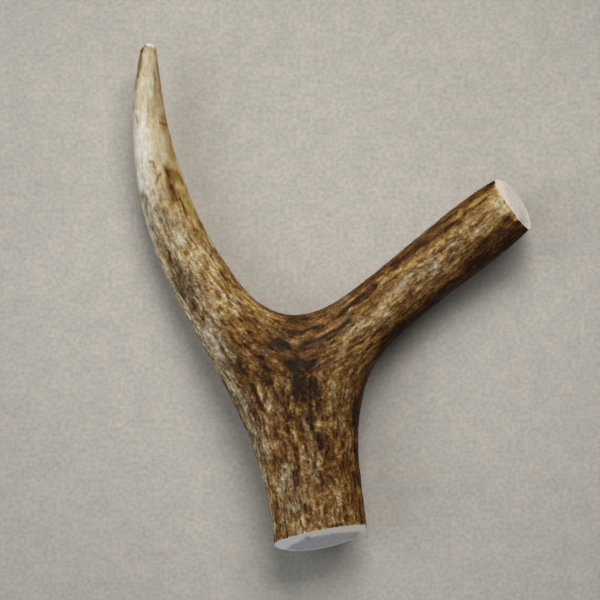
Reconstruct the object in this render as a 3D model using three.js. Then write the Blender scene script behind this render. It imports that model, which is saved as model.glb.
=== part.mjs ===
// A forked piece of shed deer antler: a sawn lower beam, a sawn upper beam and
// one long curved tine, lying on its back as a shallow three-armed rocker.
// Millimetres, +Z up. The three arms meet at the fork and are separate solids,
// each bounded there by two upright planes through the fork axis.
import * as THREE from 'three';

// ---- driving dimensions -------------------------------------------------
const GAP = 0.3;              // clearance between two arms at the fork
const HALF_SEGMENTS = 18;     // facets on each half of a cross-section
const RINGS = { lower_beam: 21, upper_beam: 33, tine: 45 };  // sections per arm

// Plan position of the fork axis relative to the middle of the outline.
const CENTRE = [10.37, 0.508];

// Stations along each arm, evenly spaced from the fork to the free end:
// [axis x, axis y, first edge x, y, second edge x, y, height of the widest
//  line, height of the top]. The underside is given by UNDERSIDE below.
// Lower beam: first edge runs on into the tine, second into the upper beam.
const LOWER = [
  [-0.65, -21.49, -22.64, -31.92, 20.98, -29.56, 13.3, 26],
  [-0.91, -29.45, -19.76, -37.85, 19.85, -34.72, 13.44, 26],
  [-0.32, -37.36, -17.06, -43.95, 19.43, -37.5, 13.59, 26],
  [1.02, -45.19, -15.15, -49.27, 19, -42.59, 13.9, 25.91],
  [2.48, -52.98, -13, -55.74, 19.06, -49.97, 14.23, 25.82],
  [3.83, -60.73, -10.98, -63.18, 19.76, -58.05, 15.5, 25.97],
  [5.18, -68.41, -9.42, -71.04, 20.7, -65.58, 17.3, 26.47],
  [6.62, -75.98, -8.3, -78.83, 21.55, -73.16, 19.7, 27.4],
];
// Tine: first edge comes from the lower beam, second edge is the crotch side.
const TINE = [
  [-0.65, -21.48, -22.64, -31.91, -1.64, -4.85, 13.45, 26],
  [-7.28, -16.83, -25.46, -26.56, -6.69, -4.17, 12.83, 24.53],
  [-13.74, -11.93, -28.18, -21.64, -10.8, -2.42, 12.02, 22.86],
  [-19.91, -6.61, -31.33, -16.09, -15.11, 0.56, 11.02, 20.91],
  [-25.65, -0.81, -35.22, -9.18, -19.41, 5.02, 10.2, 19.28],
  [-30.81, 5.54, -39.71, -0.89, -23.52, 10.82, 9.43, 17.8],
  [-35.2, 12.42, -43.88, 7.61, -27.35, 16.8, 9.25, 17.16],
  [-38.79, 19.74, -47.4, 15.95, -30.99, 23.22, 9.37, 16.84],
  [-41.83, 27.3, -50.19, 24.2, -34.32, 30.1, 9.64, 16.59],
  [-44.41, 35, -52.33, 32.58, -37.12, 37.24, 10.01, 16.4],
  [-46.55, 42.81, -53.79, 41, -39.62, 44.5, 10.53, 16.36],
  [-48.28, 50.72, -54.61, 49.5, -41.8, 51.94, 11.09, 16.26],
  [-49.44, 58.7, -54.76, 58.15, -43.54, 59.31, 11.66, 16.07],
  [-49.9, 66.75, -54.42, 66.75, -44.74, 66.65, 12.3, 15.92],
  [-49.78, 74.79, -53.2, 75.22, -45.67, 74.05, 12.92, 15.64],
  [-49.25, 83.06, -51.76, 83.25, -46.72, 82.86, 13.72, 15.6],
];
// Upper beam: first edge comes from the lower beam, second is the crotch side.
const UPPER = [
  [-0.65, -21.48, 20.97, -29.55, -1.64, -4.85, 13.45, 26],
  [6.36, -17.83, 22.32, -25.46, 4.13, -3.84, 12.96, 24.65],
  [13.16, -13.76, 24.05, -21.73, 8.47, -2.1, 12.22, 22.96],
  [19.66, -9.21, 27.06, -17.25, 13.17, 0.57, 11.5, 21.4],
  [25.91, -4.29, 32.24, -11.84, 18.6, 4.42, 10.9, 20.13],
  [31.92, 0.92, 38.4, -6.45, 24.66, 9.18, 10.57, 19.33],
  [37.99, 6.06, 44.25, -1.67, 31.14, 14.53, 10.33, 18.63],
  [44.22, 10.97, 50.31, 3.09, 37.39, 19.79, 10.65, 18.58],
  [50.42, 15.84, 56.68, 7.93, 43.37, 24.74, 11.41, 18.83],
  [56.52, 20.76, 62.77, 12.65, 49.63, 29.68, 12.46, 19.35],
  [62.5, 25.69, 68.37, 17.31, 56.28, 34.51, 14.6, 20.22],
  [68.75, 30.83, 74.27, 22.74, 62.95, 38.79, 16.8, 21.3],
];

// Underside of each arm: lifted a little at the fork, touching the ground at
// `touch` (fraction of the arm's length) and rising to `end` at the free end.
const FORK_LIFT = 0.9;
const UNDERSIDE = {
  lower_beam: { touch: 4 / 7, end: 2.4, power: 1.8 },
  upper_beam: { touch: 6 / 11, end: 3.4, power: 1.8 },
  tine: { touch: 5 / 15, end: 11.6, power: 1.55 },
};

// Saw cuts at the free ends: heading of the outward normal in plan (x, y),
// its rise above the horizontal in degrees, and the length of arm over which
// the sections lean over to meet the cut.
const CUTS = {
  lower_beam: { heading: [0.194, -0.981], rise: 21, reach: 22 },
  upper_beam: { heading: [0.818, 0.575], rise: 21, reach: 26 },
  tine: { heading: [0.08, 0.997], rise: 20, reach: 8 },
};

// ---- curves -------------------------------------------------------------
// Catmull-Rom interpolation of a list of rows at the fractional index u.
function spline(rows, u, before, after) {
  const n = rows.length - 1;
  const i = Math.min(n - 1, Math.max(0, Math.floor(u)));
  const f = u - i;
  const ends = (k) => {
    if (k < 0) return before ? before(rows) : extrapolate(rows[0], rows[1], rows[2]);
    if (k > n) return after ? after(rows) : extrapolate(rows[n], rows[n - 1], rows[n - 2]);
    return rows[k];
  };
  const [p0, p1, p2, p3] = [ends(i - 1), ends(i), ends(i + 1), ends(i + 2)];
  return p1.map((_, c) => {
    const a = p0[c], b = p1[c], d = p2[c], e = p3[c];
    return 0.5 * (2 * b + (d - a) * f + (2 * a - 5 * b + 4 * d - e) * f * f
      + (3 * b - a - 3 * d + e) * f * f * f);
  });
}
const extrapolate = (a, b, c) => a.map((_, k) => 3 * a[k] - 3 * b[k] + c[k]);

const columns = (rows, i, j) => rows.map((r) => [r[i], r[j]]);
// The three outlines each run over two arms without a break at the fork.
const outline = (armA, ia, armB, ib) => {
  const a = columns(armA, ia, ia + 1), b = columns(armB, ib, ib + 1);
  const joint = a[0].map((v, k) => (v + b[0][k]) / 2);
  return { rows: [...a.slice(1).reverse(), joint, ...b.slice(1)], fork: a.length - 1 };
};
const outer = outline(LOWER, 2, TINE, 2);
const inner = outline(LOWER, 4, UPPER, 2);
const crotch = outline(TINE, 4, UPPER, 4);

const fork = [
  (LOWER[0][0] + TINE[0][0] + UPPER[0][0]) / 3,
  (LOWER[0][1] + TINE[0][1] + UPPER[0][1]) / 3,
];

function underside(arm, t) {
  const { touch, end, power } = UNDERSIDE[arm];
  return t < touch
    ? FORK_LIFT * (1 + Math.cos(Math.PI * t / touch)) / 2
    : end * ((t - touch) / (1 - touch)) ** power;
}

// One cross-section: points run from the top, down the first side to the
// underside and back up the second side.
function section(arm, table, first, second, t) {
  const n = table.length - 1, u = t * n;
  const mid = t === 0 ? fork : spline(columns(table, 0, 1), u);
  const mirror = (rows) => rows[1];
  const [wide, top] = spline(columns(table, 6, 7), u, mirror);
  const low = underside(arm, t);
  const e1 = first(u), e2 = second(u);
  const points = [];
  for (let k = 0; k < 2 * HALF_SEGMENTS; k++) {
    const angle = Math.PI * k / HALF_SEGMENTS;
    const s = Math.sin(angle), c = Math.cos(angle);
    const edge = k < HALF_SEGMENTS ? e1 : e2;
    const w = Math.abs(s);
    const z = c >= 0 ? wide + (top - wide) * c : wide + (wide - low) * c;
    points.push(new THREE.Vector3(
      mid[0] + (edge[0] - mid[0]) * w, mid[1] + (edge[1] - mid[1]) * w, z));
  }
  return points;
}

// A closed solid for one arm, from the fork to its cut.
function armGeometry(arm, table, first, second) {
  const count = RINGS[arm], around = 2 * HALF_SEGMENTS;
  const rings = [];
  for (let j = 0; j <= count; j++) rings.push(section(arm, table, first, second, j / count));

  // lean the last sections into the plane of the cut
  const { heading, rise, reach } = CUTS[arm];
  const h = Math.hypot(...heading), r = THREE.MathUtils.degToRad(rise);
  const normal = new THREE.Vector3(
    heading[0] / h * Math.cos(r), heading[1] / h * Math.cos(r), Math.sin(r));
  const last = table[table.length - 1], prev = table[table.length - 2];
  const lowNear = underside(arm, 1 - 1 / (table.length - 1)), lowEnd = underside(arm, 1);
  const axis = new THREE.Vector3(last[0] - prev[0], last[1] - prev[1],
    (last[7] + lowEnd - prev[7] - lowNear) / 2).normalize();
  const centre = new THREE.Vector3(last[0], last[1], last[6]);
  const end = rings[count].map((p) => p.clone());
  const shift = end.map((p) => -normal.dot(p.clone().sub(centre)) / normal.dot(axis));
  const endMid = new THREE.Vector2(last[0], last[1]);
  for (let j = 0; j <= count; j++) {
    const m = spline(columns(table, 0, 1), j / count * (table.length - 1));
    const d = Math.hypot(m[0] - endMid.x, m[1] - endMid.y);
    const w = Math.max(0, 1 - d / reach);
    if (w > 0) rings[j].forEach((p, k) => p.addScaledVector(axis, shift[k] * w * w * (2 - w)));
  }

  // draw the fork section back from the two planes that bound the arm there
  const inward = (edge, other) => {
    const d = new THREE.Vector2(edge[0] - fork[0], edge[1] - fork[1]).normalize();
    const nrm = new THREE.Vector2(-d.y, d.x);
    const o = new THREE.Vector2(other[0] - fork[0], other[1] - fork[1]);
    return nrm.dot(o) < 0 ? nrm.negate() : nrm;
  };
  const n1 = inward(first(0), second(0)), n2 = inward(second(0), first(0));
  const det = n1.x * n2.y - n1.y * n2.x;
  const corner = new THREE.Vector2((n2.y - n1.y) / det, (n1.x - n2.x) / det).multiplyScalar(GAP / 2);
  rings[0].forEach((p, k) => {
    const side = k % HALF_SEGMENTS === 0 ? corner
      : (k < HALF_SEGMENTS ? n1 : n2).clone().multiplyScalar(GAP / 2);
    p.x += side.x; p.y += side.y;
  });

  const positions = [], faces = [];
  const add = (p) => positions.push(p.x - CENTRE[0], p.y - CENTRE[1], p.z) / 3 - 1;
  const index = rings.map((ring) => ring.map(add));
  const quad = (a, b, c, d) => faces.push(a, b, c, a, c, d);
  for (let j = 0; j < count; j++) {
    for (let k = 0; k < around; k++) {
      const l = (k + 1) % around;
      quad(index[j][k], index[j + 1][k], index[j + 1][l], index[j][l]);
    }
  }
  // the sawn face
  const hub = add(rings[count].reduce((s, p) => s.add(p), new THREE.Vector3()).multiplyScalar(1 / around));
  for (let k = 0; k < around; k++) faces.push(hub, index[count][(k + 1) % around], index[count][k]);
  // the two upright faces at the fork, joined along its axis
  const spine = [index[0][0]];
  for (let k = 1; k < HALF_SEGMENTS; k++) {
    const p = rings[0][0].clone();
    p.z = rings[0][k].z;
    spine.push(add(p));
  }
  spine.push(index[0][HALF_SEGMENTS]);
  for (let k = 0; k < HALF_SEGMENTS; k++) {
    const a1 = index[0][k], b1 = index[0][k + 1];
    const a2 = index[0][(around - k) % around], b2 = index[0][around - k - 1];
    const s = spine[k], e = spine[k + 1];
    const tri = (x, y, z) => { if (x !== y && y !== z && z !== x) faces.push(x, y, z); };
    tri(s, a1, b1); tri(s, b1, e);
    tri(s, b2, a2); tri(s, e, b2);
  }
  const geometry = new THREE.BufferGeometry();
  geometry.setAttribute('position', new THREE.Float32BufferAttribute(positions, 3));
  geometry.setIndex(faces);
  // outward winding
  let volume = 0;
  const P = (i) => new THREE.Vector3(positions[3 * i], positions[3 * i + 1], positions[3 * i + 2]);
  for (let i = 0; i < faces.length; i += 3) {
    volume += P(faces[i]).dot(P(faces[i + 1]).cross(P(faces[i + 2])));
  }
  if (volume < 0) {
    for (let i = 0; i < faces.length; i += 3) [faces[i], faces[i + 1]] = [faces[i + 1], faces[i]];
    geometry.setIndex(faces);
  }
  geometry.computeVertexNormals();
  return geometry;
}

const along = (line, direction) => (u) => spline(line.rows, line.fork + direction * u);

const arms = [
  ['lower_beam', LOWER, along(outer, -1), along(inner, -1), '#7d5d38'],
  ['tine', TINE, along(outer, 1), along(crotch, -1), '#b49b70'],
  ['upper_beam', UPPER, along(inner, 1), along(crotch, 1), '#84643c'],
];

const antler = new THREE.Group();
antler.name = 'antler';
for (const [name, table, first, second, color] of arms) {
  const material = new THREE.MeshStandardMaterial({ color, roughness: 0.62, metalness: 0 });
  material.name = 'antler';
  const mesh = new THREE.Mesh(armGeometry(name, table, first, second), material);
  mesh.name = name;
  antler.add(mesh);
}

export default antler;
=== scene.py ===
import bpy
import math
import numpy as np
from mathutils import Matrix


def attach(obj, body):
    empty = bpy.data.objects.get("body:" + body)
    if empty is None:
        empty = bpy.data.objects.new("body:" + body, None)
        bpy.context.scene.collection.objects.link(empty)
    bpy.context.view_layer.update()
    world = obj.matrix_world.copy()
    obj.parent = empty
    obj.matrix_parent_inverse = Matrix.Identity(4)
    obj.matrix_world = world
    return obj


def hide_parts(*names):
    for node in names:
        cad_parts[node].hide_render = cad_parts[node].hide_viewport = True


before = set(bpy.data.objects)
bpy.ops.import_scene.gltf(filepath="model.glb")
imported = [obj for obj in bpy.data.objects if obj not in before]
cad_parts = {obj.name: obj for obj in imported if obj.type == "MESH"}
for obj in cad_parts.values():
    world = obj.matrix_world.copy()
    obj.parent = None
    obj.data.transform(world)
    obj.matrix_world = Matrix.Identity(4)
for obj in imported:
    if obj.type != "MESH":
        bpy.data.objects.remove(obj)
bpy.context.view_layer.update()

# ---------------------------------------------------------------------------
# 1. The antler's form: the same station tables as the CAD, in millimetres.
#    Rows run from the fork to the free end: axis x, y, first edge x, y,
#    second edge x, y, height of the widest line, height of the top.
# ---------------------------------------------------------------------------
CENTRE = (10.37, 0.508)
TABLES = {
    "lower_beam": [
        [-0.65, -21.49, -22.64, -31.92, 20.98, -29.56, 13.3, 26],
        [-0.91, -29.45, -19.76, -37.85, 19.85, -34.72, 13.44, 26],
        [-0.32, -37.36, -17.06, -43.95, 19.43, -37.5, 13.59, 26],
        [1.02, -45.19, -15.15, -49.27, 19, -42.59, 13.9, 25.91],
        [2.48, -52.98, -13, -55.74, 19.06, -49.97, 14.23, 25.82],
        [3.83, -60.73, -10.98, -63.18, 19.76, -58.05, 15.5, 25.97],
        [5.18, -68.41, -9.42, -71.04, 20.7, -65.58, 17.3, 26.47],
        [6.62, -75.98, -8.3, -78.83, 21.55, -73.16, 19.7, 27.4],
    ],
    "tine": [
        [-0.65, -21.48, -22.64, -31.91, -1.64, -4.85, 13.45, 26],
        [-7.28, -16.83, -25.46, -26.56, -6.69, -4.17, 12.83, 24.53],
        [-13.74, -11.93, -28.18, -21.64, -10.8, -2.42, 12.02, 22.86],
        [-19.91, -6.61, -31.33, -16.09, -15.11, 0.56, 11.02, 20.91],
        [-25.65, -0.81, -35.22, -9.18, -19.41, 5.02, 10.2, 19.28],
        [-30.81, 5.54, -39.71, -0.89, -23.52, 10.82, 9.43, 17.8],
        [-35.2, 12.42, -43.88, 7.61, -27.35, 16.8, 9.25, 17.16],
        [-38.79, 19.74, -47.4, 15.95, -30.99, 23.22, 9.37, 16.84],
        [-41.83, 27.3, -50.19, 24.2, -34.32, 30.1, 9.64, 16.59],
        [-44.41, 35, -52.33, 32.58, -37.12, 37.24, 10.01, 16.4],
        [-46.55, 42.81, -53.79, 41, -39.62, 44.5, 10.53, 16.36],
        [-48.28, 50.72, -54.61, 49.5, -41.8, 51.94, 11.09, 16.26],
        [-49.44, 58.7, -54.76, 58.15, -43.54, 59.31, 11.66, 16.07],
        [-49.9, 66.75, -54.42, 66.75, -44.74, 66.65, 12.3, 15.92],
        [-49.78, 74.79, -53.2, 75.22, -45.67, 74.05, 12.92, 15.64],
        [-49.25, 83.06, -51.76, 83.25, -46.72, 82.86, 13.72, 15.6],
    ],
    "upper_beam": [
        [-0.65, -21.48, 20.97, -29.55, -1.64, -4.85, 13.45, 26],
        [6.36, -17.83, 22.32, -25.46, 4.13, -3.84, 12.96, 24.65],
        [13.16, -13.76, 24.05, -21.73, 8.47, -2.1, 12.22, 22.96],
        [19.66, -9.21, 27.06, -17.25, 13.17, 0.57, 11.5, 21.4],
        [25.91, -4.29, 32.24, -11.84, 18.6, 4.42, 10.9, 20.13],
        [31.92, 0.92, 38.4, -6.45, 24.66, 9.18, 10.57, 19.33],
        [37.99, 6.06, 44.25, -1.67, 31.14, 14.53, 10.33, 18.63],
        [44.22, 10.97, 50.31, 3.09, 37.39, 19.79, 10.65, 18.58],
        [50.42, 15.84, 56.68, 7.93, 43.37, 24.74, 11.41, 18.83],
        [56.52, 20.76, 62.77, 12.65, 49.63, 29.68, 12.46, 19.35],
        [62.5, 25.69, 68.37, 17.31, 56.28, 34.51, 14.6, 20.22],
        [68.75, 30.83, 74.27, 22.74, 62.95, 38.79, 16.8, 21.3],
    ],
}
FORK_LIFT = 0.9
UNDERSIDE = {"lower_beam": (4 / 7, 2.4, 1.8), "upper_beam": (6 / 11, 3.4, 1.8), "tine": (5 / 15, 11.6, 1.55)}
CUTS = {"lower_beam": ((0.194, -0.981), 21.0, 22.0), "upper_beam": ((0.818, 0.575), 21.0, 26.0), "tine": ((0.08, 0.997), 20.0, 8.0)}
ARMS = ["lower_beam", "tine", "upper_beam"]
L, T, U = ARMS
ROWS = {L: 300, T: 350, U: 318}      # sections along each arm
K = 130                              # facets on each half of a section
R = 2 * K
CAP = {L: 34, T: 8, U: 30}           # rings on each sawn face


def extrapolate(a, b, c):
    return 3 * a - 3 * b + c


def spline(rows, u, mirror=False):
    rows = np.asarray(rows, float)
    u = np.atleast_1d(np.asarray(u, float))
    first = rows[1] if mirror else extrapolate(rows[0], rows[1], rows[2])
    ext = np.vstack([first, rows, extrapolate(rows[-1], rows[-2], rows[-3])])
    i = np.clip(np.floor(u).astype(int), 0, len(rows) - 2)
    f = (u - i)[:, None]
    a, b, d, e = ext[i], ext[i + 1], ext[i + 2], ext[i + 3]
    return 0.5 * (2 * b + (d - a) * f + (2 * a - 5 * b + 4 * d - e) * f * f + (3 * b - a - 3 * d + e) * f ** 3)


def outline(arm_a, ca, arm_b, cb):
    a = np.array(TABLES[arm_a])[:, ca:ca + 2]
    b = np.array(TABLES[arm_b])[:, cb:cb + 2]
    return np.vstack([a[1:][::-1], [(a[0] + b[0]) / 2], b[1:]]), len(a) - 1


OUTER, INNER, CROTCH = outline(L, 2, T, 2), outline(L, 4, U, 2), outline(T, 4, U, 4)
EDGES = {L: ((OUTER, -1), (INNER, -1)), T: ((OUTER, 1), (CROTCH, -1)), U: ((INNER, 1), (CROTCH, 1))}
FORK = np.mean([TABLES[a][0][:2] for a in ARMS], axis=0)


def underside(arm, t):
    touch, end, power = UNDERSIDE[arm]
    return np.where(t < touch, FORK_LIFT * (1 + np.cos(np.pi * t / touch)) / 2,
                    end * (np.maximum(t - touch, 0) / (1 - touch)) ** power)


def cut_plane(arm):
    heading, rise, reach = CUTS[arm]
    h = math.hypot(*heading)
    r = math.radians(rise)
    return np.array([heading[0] / h * math.cos(r), heading[1] / h * math.cos(r), math.sin(r)]), reach


def arm_points(arm):
    tab = np.array(TABLES[arm])
    n = len(tab) - 1
    t = np.linspace(0, 1, ROWS[arm] + 1)
    mid = spline(tab[:, :2], t * n)
    mid[0] = FORK
    wt = spline(tab[:, 6:8], t * n, mirror=True)
    low = underside(arm, t)
    (l1, s1), (l2, s2) = EDGES[arm]
    e1 = spline(l1[0], l1[1] + s1 * t * n)
    e2 = spline(l2[0], l2[1] + s2 * t * n)
    k = np.arange(R)
    ang = np.pi * k / K
    s, c = np.abs(np.sin(ang)), np.cos(ang)
    edge = np.where((k < K)[None, :, None], e1[:, None, :], e2[:, None, :])
    xy = mid[:, None, :] + (edge - mid[:, None, :]) * s[None, :, None]
    z = np.where(c[None] >= 0, wt[:, :1] + (wt[:, 1:] - wt[:, :1]) * c[None], wt[:, :1] + (wt[:, :1] - low[:, None]) * c[None])
    P = np.dstack([xy, z])
    normal, reach = cut_plane(arm)
    last, prev = tab[-1], tab[-2]
    axis = np.array([last[0] - prev[0], last[1] - prev[1],
                     (last[7] + underside(arm, np.array(1.0)) - prev[7] - underside(arm, np.array(1 - 1 / n))) / 2])
    axis /= np.linalg.norm(axis)
    centre = np.array([last[0], last[1], last[6]])
    shift = -((P[-1] - centre) @ normal) / (normal @ axis)
    d = np.hypot(*(mid - last[:2]).T)
    w = np.maximum(0, 1 - d / reach)
    P += axis * (shift[None, :, None] * (w * w * (2 - w))[:, None, None])
    P[..., 0] -= CENTRE[0]
    P[..., 1] -= CENTRE[1]
    return P


# ---------------------------------------------------------------------------
# 2. Fields on the surface. A field holds one array per arm, rows by columns.
#    Grain runs along the columns and on from arm to arm through the fork.
# ---------------------------------------------------------------------------
kk = np.arange(K + 1)
FIRST = kk % R
SECOND = (R - kk) % R
SECTORS = [(L, FIRST, T, FIRST), (L, SECOND, U, FIRST), (T, SECOND, U, SECOND)]


def weld(f):
    """Give the shared points of the fork section one value."""
    for a, ca, b, cb in SECTORS:
        m = (f[a][0, ca] + f[b][0, cb]) / 2
        f[a][0, ca[1:-1]] = m[1:-1]
        f[b][0, cb[1:-1]] = m[1:-1]
    for k in (0, K):
        m = (f[L][0, k] + f[T][0, k] + f[U][0, k]) / 3
        for a in ARMS:
            f[a][0, k] = m
    return f


P = weld({a: arm_points(a) for a in ARMS})


def spacing(P):
    """Distances along the columns of each sector, and each row's mean column width."""
    ds = []
    for a, ca, b, cb in SECTORS:
        seq = np.concatenate([P[a][:, ca][::-1], P[b][1:, cb]])
        ds.append(np.linalg.norm(np.diff(seq, axis=0), axis=2))
    width = {a: np.linalg.norm(np.roll(P[a], -1, 1) - P[a], axis=2).mean(1) for a in ARMS}
    return ds, width


DS, WIDTH = spacing(P)


def smooth_along(f, sigma):
    """Blur along the grain by sigma millimetres."""
    out = {a: np.zeros_like(f[a]) for a in ARMS}
    cnt = {a: np.zeros(f[a].shape[:2] + (1,) * (f[a].ndim - 2)) for a in ARMS}
    for (a, ca, b, cb), ds in zip(SECTORS, DS):
        x = np.concatenate([f[a][:, ca][::-1], f[b][1:, cb]])
        alpha = np.exp(-ds / (sigma / 2))
        if x.ndim == 3:
            alpha = alpha[..., None]
        for _ in range(2):
            for i in range(1, len(x)):
                x[i] += alpha[i - 1] * (x[i - 1] - x[i])
            for i in range(len(x) - 2, -1, -1):
                x[i] += alpha[i] * (x[i + 1] - x[i])
        n = len(f[a])
        pa, pb = x[:n][::-1], x[n - 1:]
        out[a][:, ca] += pa
        out[b][:, cb] += pb
        cnt[a][:, ca] += 1
        cnt[b][:, cb] += 1
    for a in ARMS:
        # the fork section of each arm is in two sectors on both halves
        out[a] /= np.maximum(cnt[a], 1)
    return weld(out)


def smooth_across(f, sigma):
    """Blur round each section by sigma millimetres."""
    out = {}
    freq = np.fft.rfftfreq(R)
    for a in ARMS:
        s = sigma / np.maximum(WIDTH[a], 1e-6)
        g = np.exp(-2 * (np.pi * freq[None, :] * s[:, None]) ** 2)
        if f[a].ndim == 3:
            g = g[..., None]
        out[a] = np.fft.irfft(np.fft.rfft(f[a], axis=1) * g, n=R, axis=1)
    return weld(out)


# soften the creases where the three arms run together
Ps = smooth_along(smooth_across(P, 2.6), 3.0)
fork3 = np.array([FORK[0] - CENTRE[0], FORK[1] - CENTRE[1]])
for a in ARMS:
    d = np.hypot(P[a][..., 0] - fork3[0], P[a][..., 1] - fork3[1])
    w = np.exp(-(d / 19.0) ** 4)[..., None]
    P[a] = P[a] + (Ps[a] - P[a]) * w
weld(P)

# ---------------------------------------------------------------------------
# 3. Grain, grooves, pearling and stain
# ---------------------------------------------------------------------------
rng = np.random.default_rng(20417)


def smooth_rows(p):
    out = p.copy()
    out[2:-2] = (p[:-4] + p[1:-3] + p[2:-2] + p[3:-1] + p[4:]) / 5
    return out


def unit_noise(width, length, seed):
    """Streaky noise: features about `width` mm across and `length` mm long, spread 1."""
    g = np.random.default_rng(seed)
    f = {a: g.standard_normal((ROWS[a] + 1, R)) / np.sqrt(np.maximum(WIDTH[a], 0.02))[:, None] for a in ARMS}
    f = smooth_across(smooth_along(weld(f), length / 2.2), width / 2.8)
    tot = np.sqrt(np.mean(np.concatenate([f[a].ravel() for a in ARMS]) ** 2))
    for a in ARMS:
        rms = np.sqrt((f[a] ** 2).mean(1) + (0.15 * tot) ** 2)
        pad = np.pad(rms, 12, mode="edge")
        rms = np.convolve(pad, np.ones(25) / 25, "valid")
        f[a] = f[a] / rms[:, None]
        f[a] -= f[a].mean() * 0.5
    return weld(f)


def smoothstep(x, lo, hi):
    t = np.clip((x - lo) / (hi - lo), 0, 1)
    return t * t * (3 - 2 * t)


def grid_normals(P):
    N = {}
    for a in ARMS:
        p = P[a]
        du = np.gradient(p, axis=0)
        dv = np.roll(p, -1, 1) - np.roll(p, 1, 1)
        n = np.cross(du, dv)
        n /= np.maximum(np.linalg.norm(n, axis=2, keepdims=True), 1e-12)
        out = p - p.mean(1, keepdims=True)
        if (n[5:-5] * out[5:-5]).sum() < 0:
            n = -n
        N[a] = n
    weld(N)
    for a in ARMS:
        N[a] /= np.maximum(np.linalg.norm(N[a], axis=2, keepdims=True), 1e-12)
    return N


N0 = grid_normals(P)

# plan coordinates, in units of 0.326 mm seen from 620 mm above the floor
EYE, UNIT, LEVEL = 620.0, 0.326, 12.5
SU, SV = {}, {}
for a in ARMS:
    s = (EYE - LEVEL) / (UNIT * (EYE - P[a][..., 2]))
    SU[a] = 300 + (P[a][..., 0] + CENTRE[0]) * s
    SV[a] = 300 - (P[a][..., 1] + CENTRE[1]) * s

UP = {a: smoothstep(N0[a][..., 2], -0.12, 0.3) for a in ARMS}     # upper side
DIST = {}
for a in ARMS:
    d = np.r_[0, np.cumsum(np.linalg.norm(np.diff(P[a][:, 0], axis=0), axis=1))]
    DIST[a] = np.repeat(d[:, None], R, 1)                          # mm from the fork

n_ridge = unit_noise(2.6, 15, 11)       # broad ridges along the grain
n_groove = unit_noise(0.85, 3.6, 12)    # the main grooves
n_groove2 = unit_noise(0.62, 2.2, 13)
n_fine = unit_noise(0.42, 1.1, 14)
n_pearl = unit_noise(1.3, 1.7, 15)      # beads
n_spot = unit_noise(3.6, 6.0, 16)       # mottling
n_patch = unit_noise(8.0, 14, 17)
n_mid = unit_noise(1.5, 3.4, 18)
n_dash = unit_noise(0.95, 6.5, 19)      # separate dark dashes
wob_u = unit_noise(2.6, 4.0, 20)
wob_v = unit_noise(2.6, 4.0, 21)


def combine(fn):
    return weld({a: fn(a) for a in ARMS})


def cells(size, stretch, seed):
    """Beads: distance to the gap between neighbouring cells (0 in the gap) and a value per cell."""
    gap, value = {}, {}
    for a in ARMS:
        along = grid_along[a]
        p = P[a] / size
        p = p + 0.30 * np.stack([n_fine[a], n_groove2[a], n_pearl[a]], -1)
        p = p - along * ((p * along).sum(-1, keepdims=True) * (1 - 1 / stretch))
        base = np.floor(p).astype(np.int64)
        f1 = np.full(p.shape[:2], 1e9)
        f2 = f1.copy()
        val = np.zeros(p.shape[:2])
        for i in (-1, 0, 1):
            for j in (-1, 0, 1):
                for k in (-1, 0, 1):
                    c = base + np.array([i, j, k])
                    h = (c[..., 0] * 73856093 ^ c[..., 1] * 19349663 ^ c[..., 2] * 83492791 ^ seed * 2654435761) & 0x7fffffff
                    h = (h * 1103515245 + 12345) & 0x7fffffff
                    h2 = (h * 1103515245 + 12345) & 0x7fffffff
                    h3 = (h2 * 1103515245 + 12345) & 0x7fffffff
                    q = c + np.stack([(h >> 8) % 1024, (h2 >> 8) % 1024, (h3 >> 8) % 1024], -1) / 1024.0
                    d = np.linalg.norm(q - p, axis=-1)
                    near = d < f1
                    f2 = np.where(near, f1, np.minimum(f2, d))
                    val = np.where(near, ((h2 >> 5) % 997) / 997.0, val)
                    f1 = np.where(near, d, f1)
        gap[a], value[a] = f2 - f1, val
    return gap, value


grid_along = {}
for a in ARMS:
    d = np.gradient(smooth_rows(P[a]), axis=0)
    grid_along[a] = d / np.linalg.norm(d, axis=2, keepdims=True)
bead_gap, bead_val = cells(1.15, 1.6, 5)


# how rough the bark is: full on the beams, fading up the tine to polished ivory
def rough_of(a):
    if a == T:
        return 1 - smoothstep(DIST[a] + 5 * n_patch[a] * 0.5, 46, 84) * 0.93
    if a == U:
        return 0.86 + 0 * DIST[a]
    return 1.0 + 0 * DIST[a]


rough = smooth_along(combine(rough_of), 5.0)

# grooves: valleys where the noise is low
groove = combine(lambda a: smoothstep(-n_groove[a] - 0.15 * n_ridge[a], 0.25, 1.9))
groove2 = combine(lambda a: smoothstep(-n_groove2[a], 0.2, 2.0))
pearl = combine(lambda a: smoothstep(n_pearl[a], 0.7, 2.2) * smoothstep(n_patch[a], -0.8, 1.2))

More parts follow.
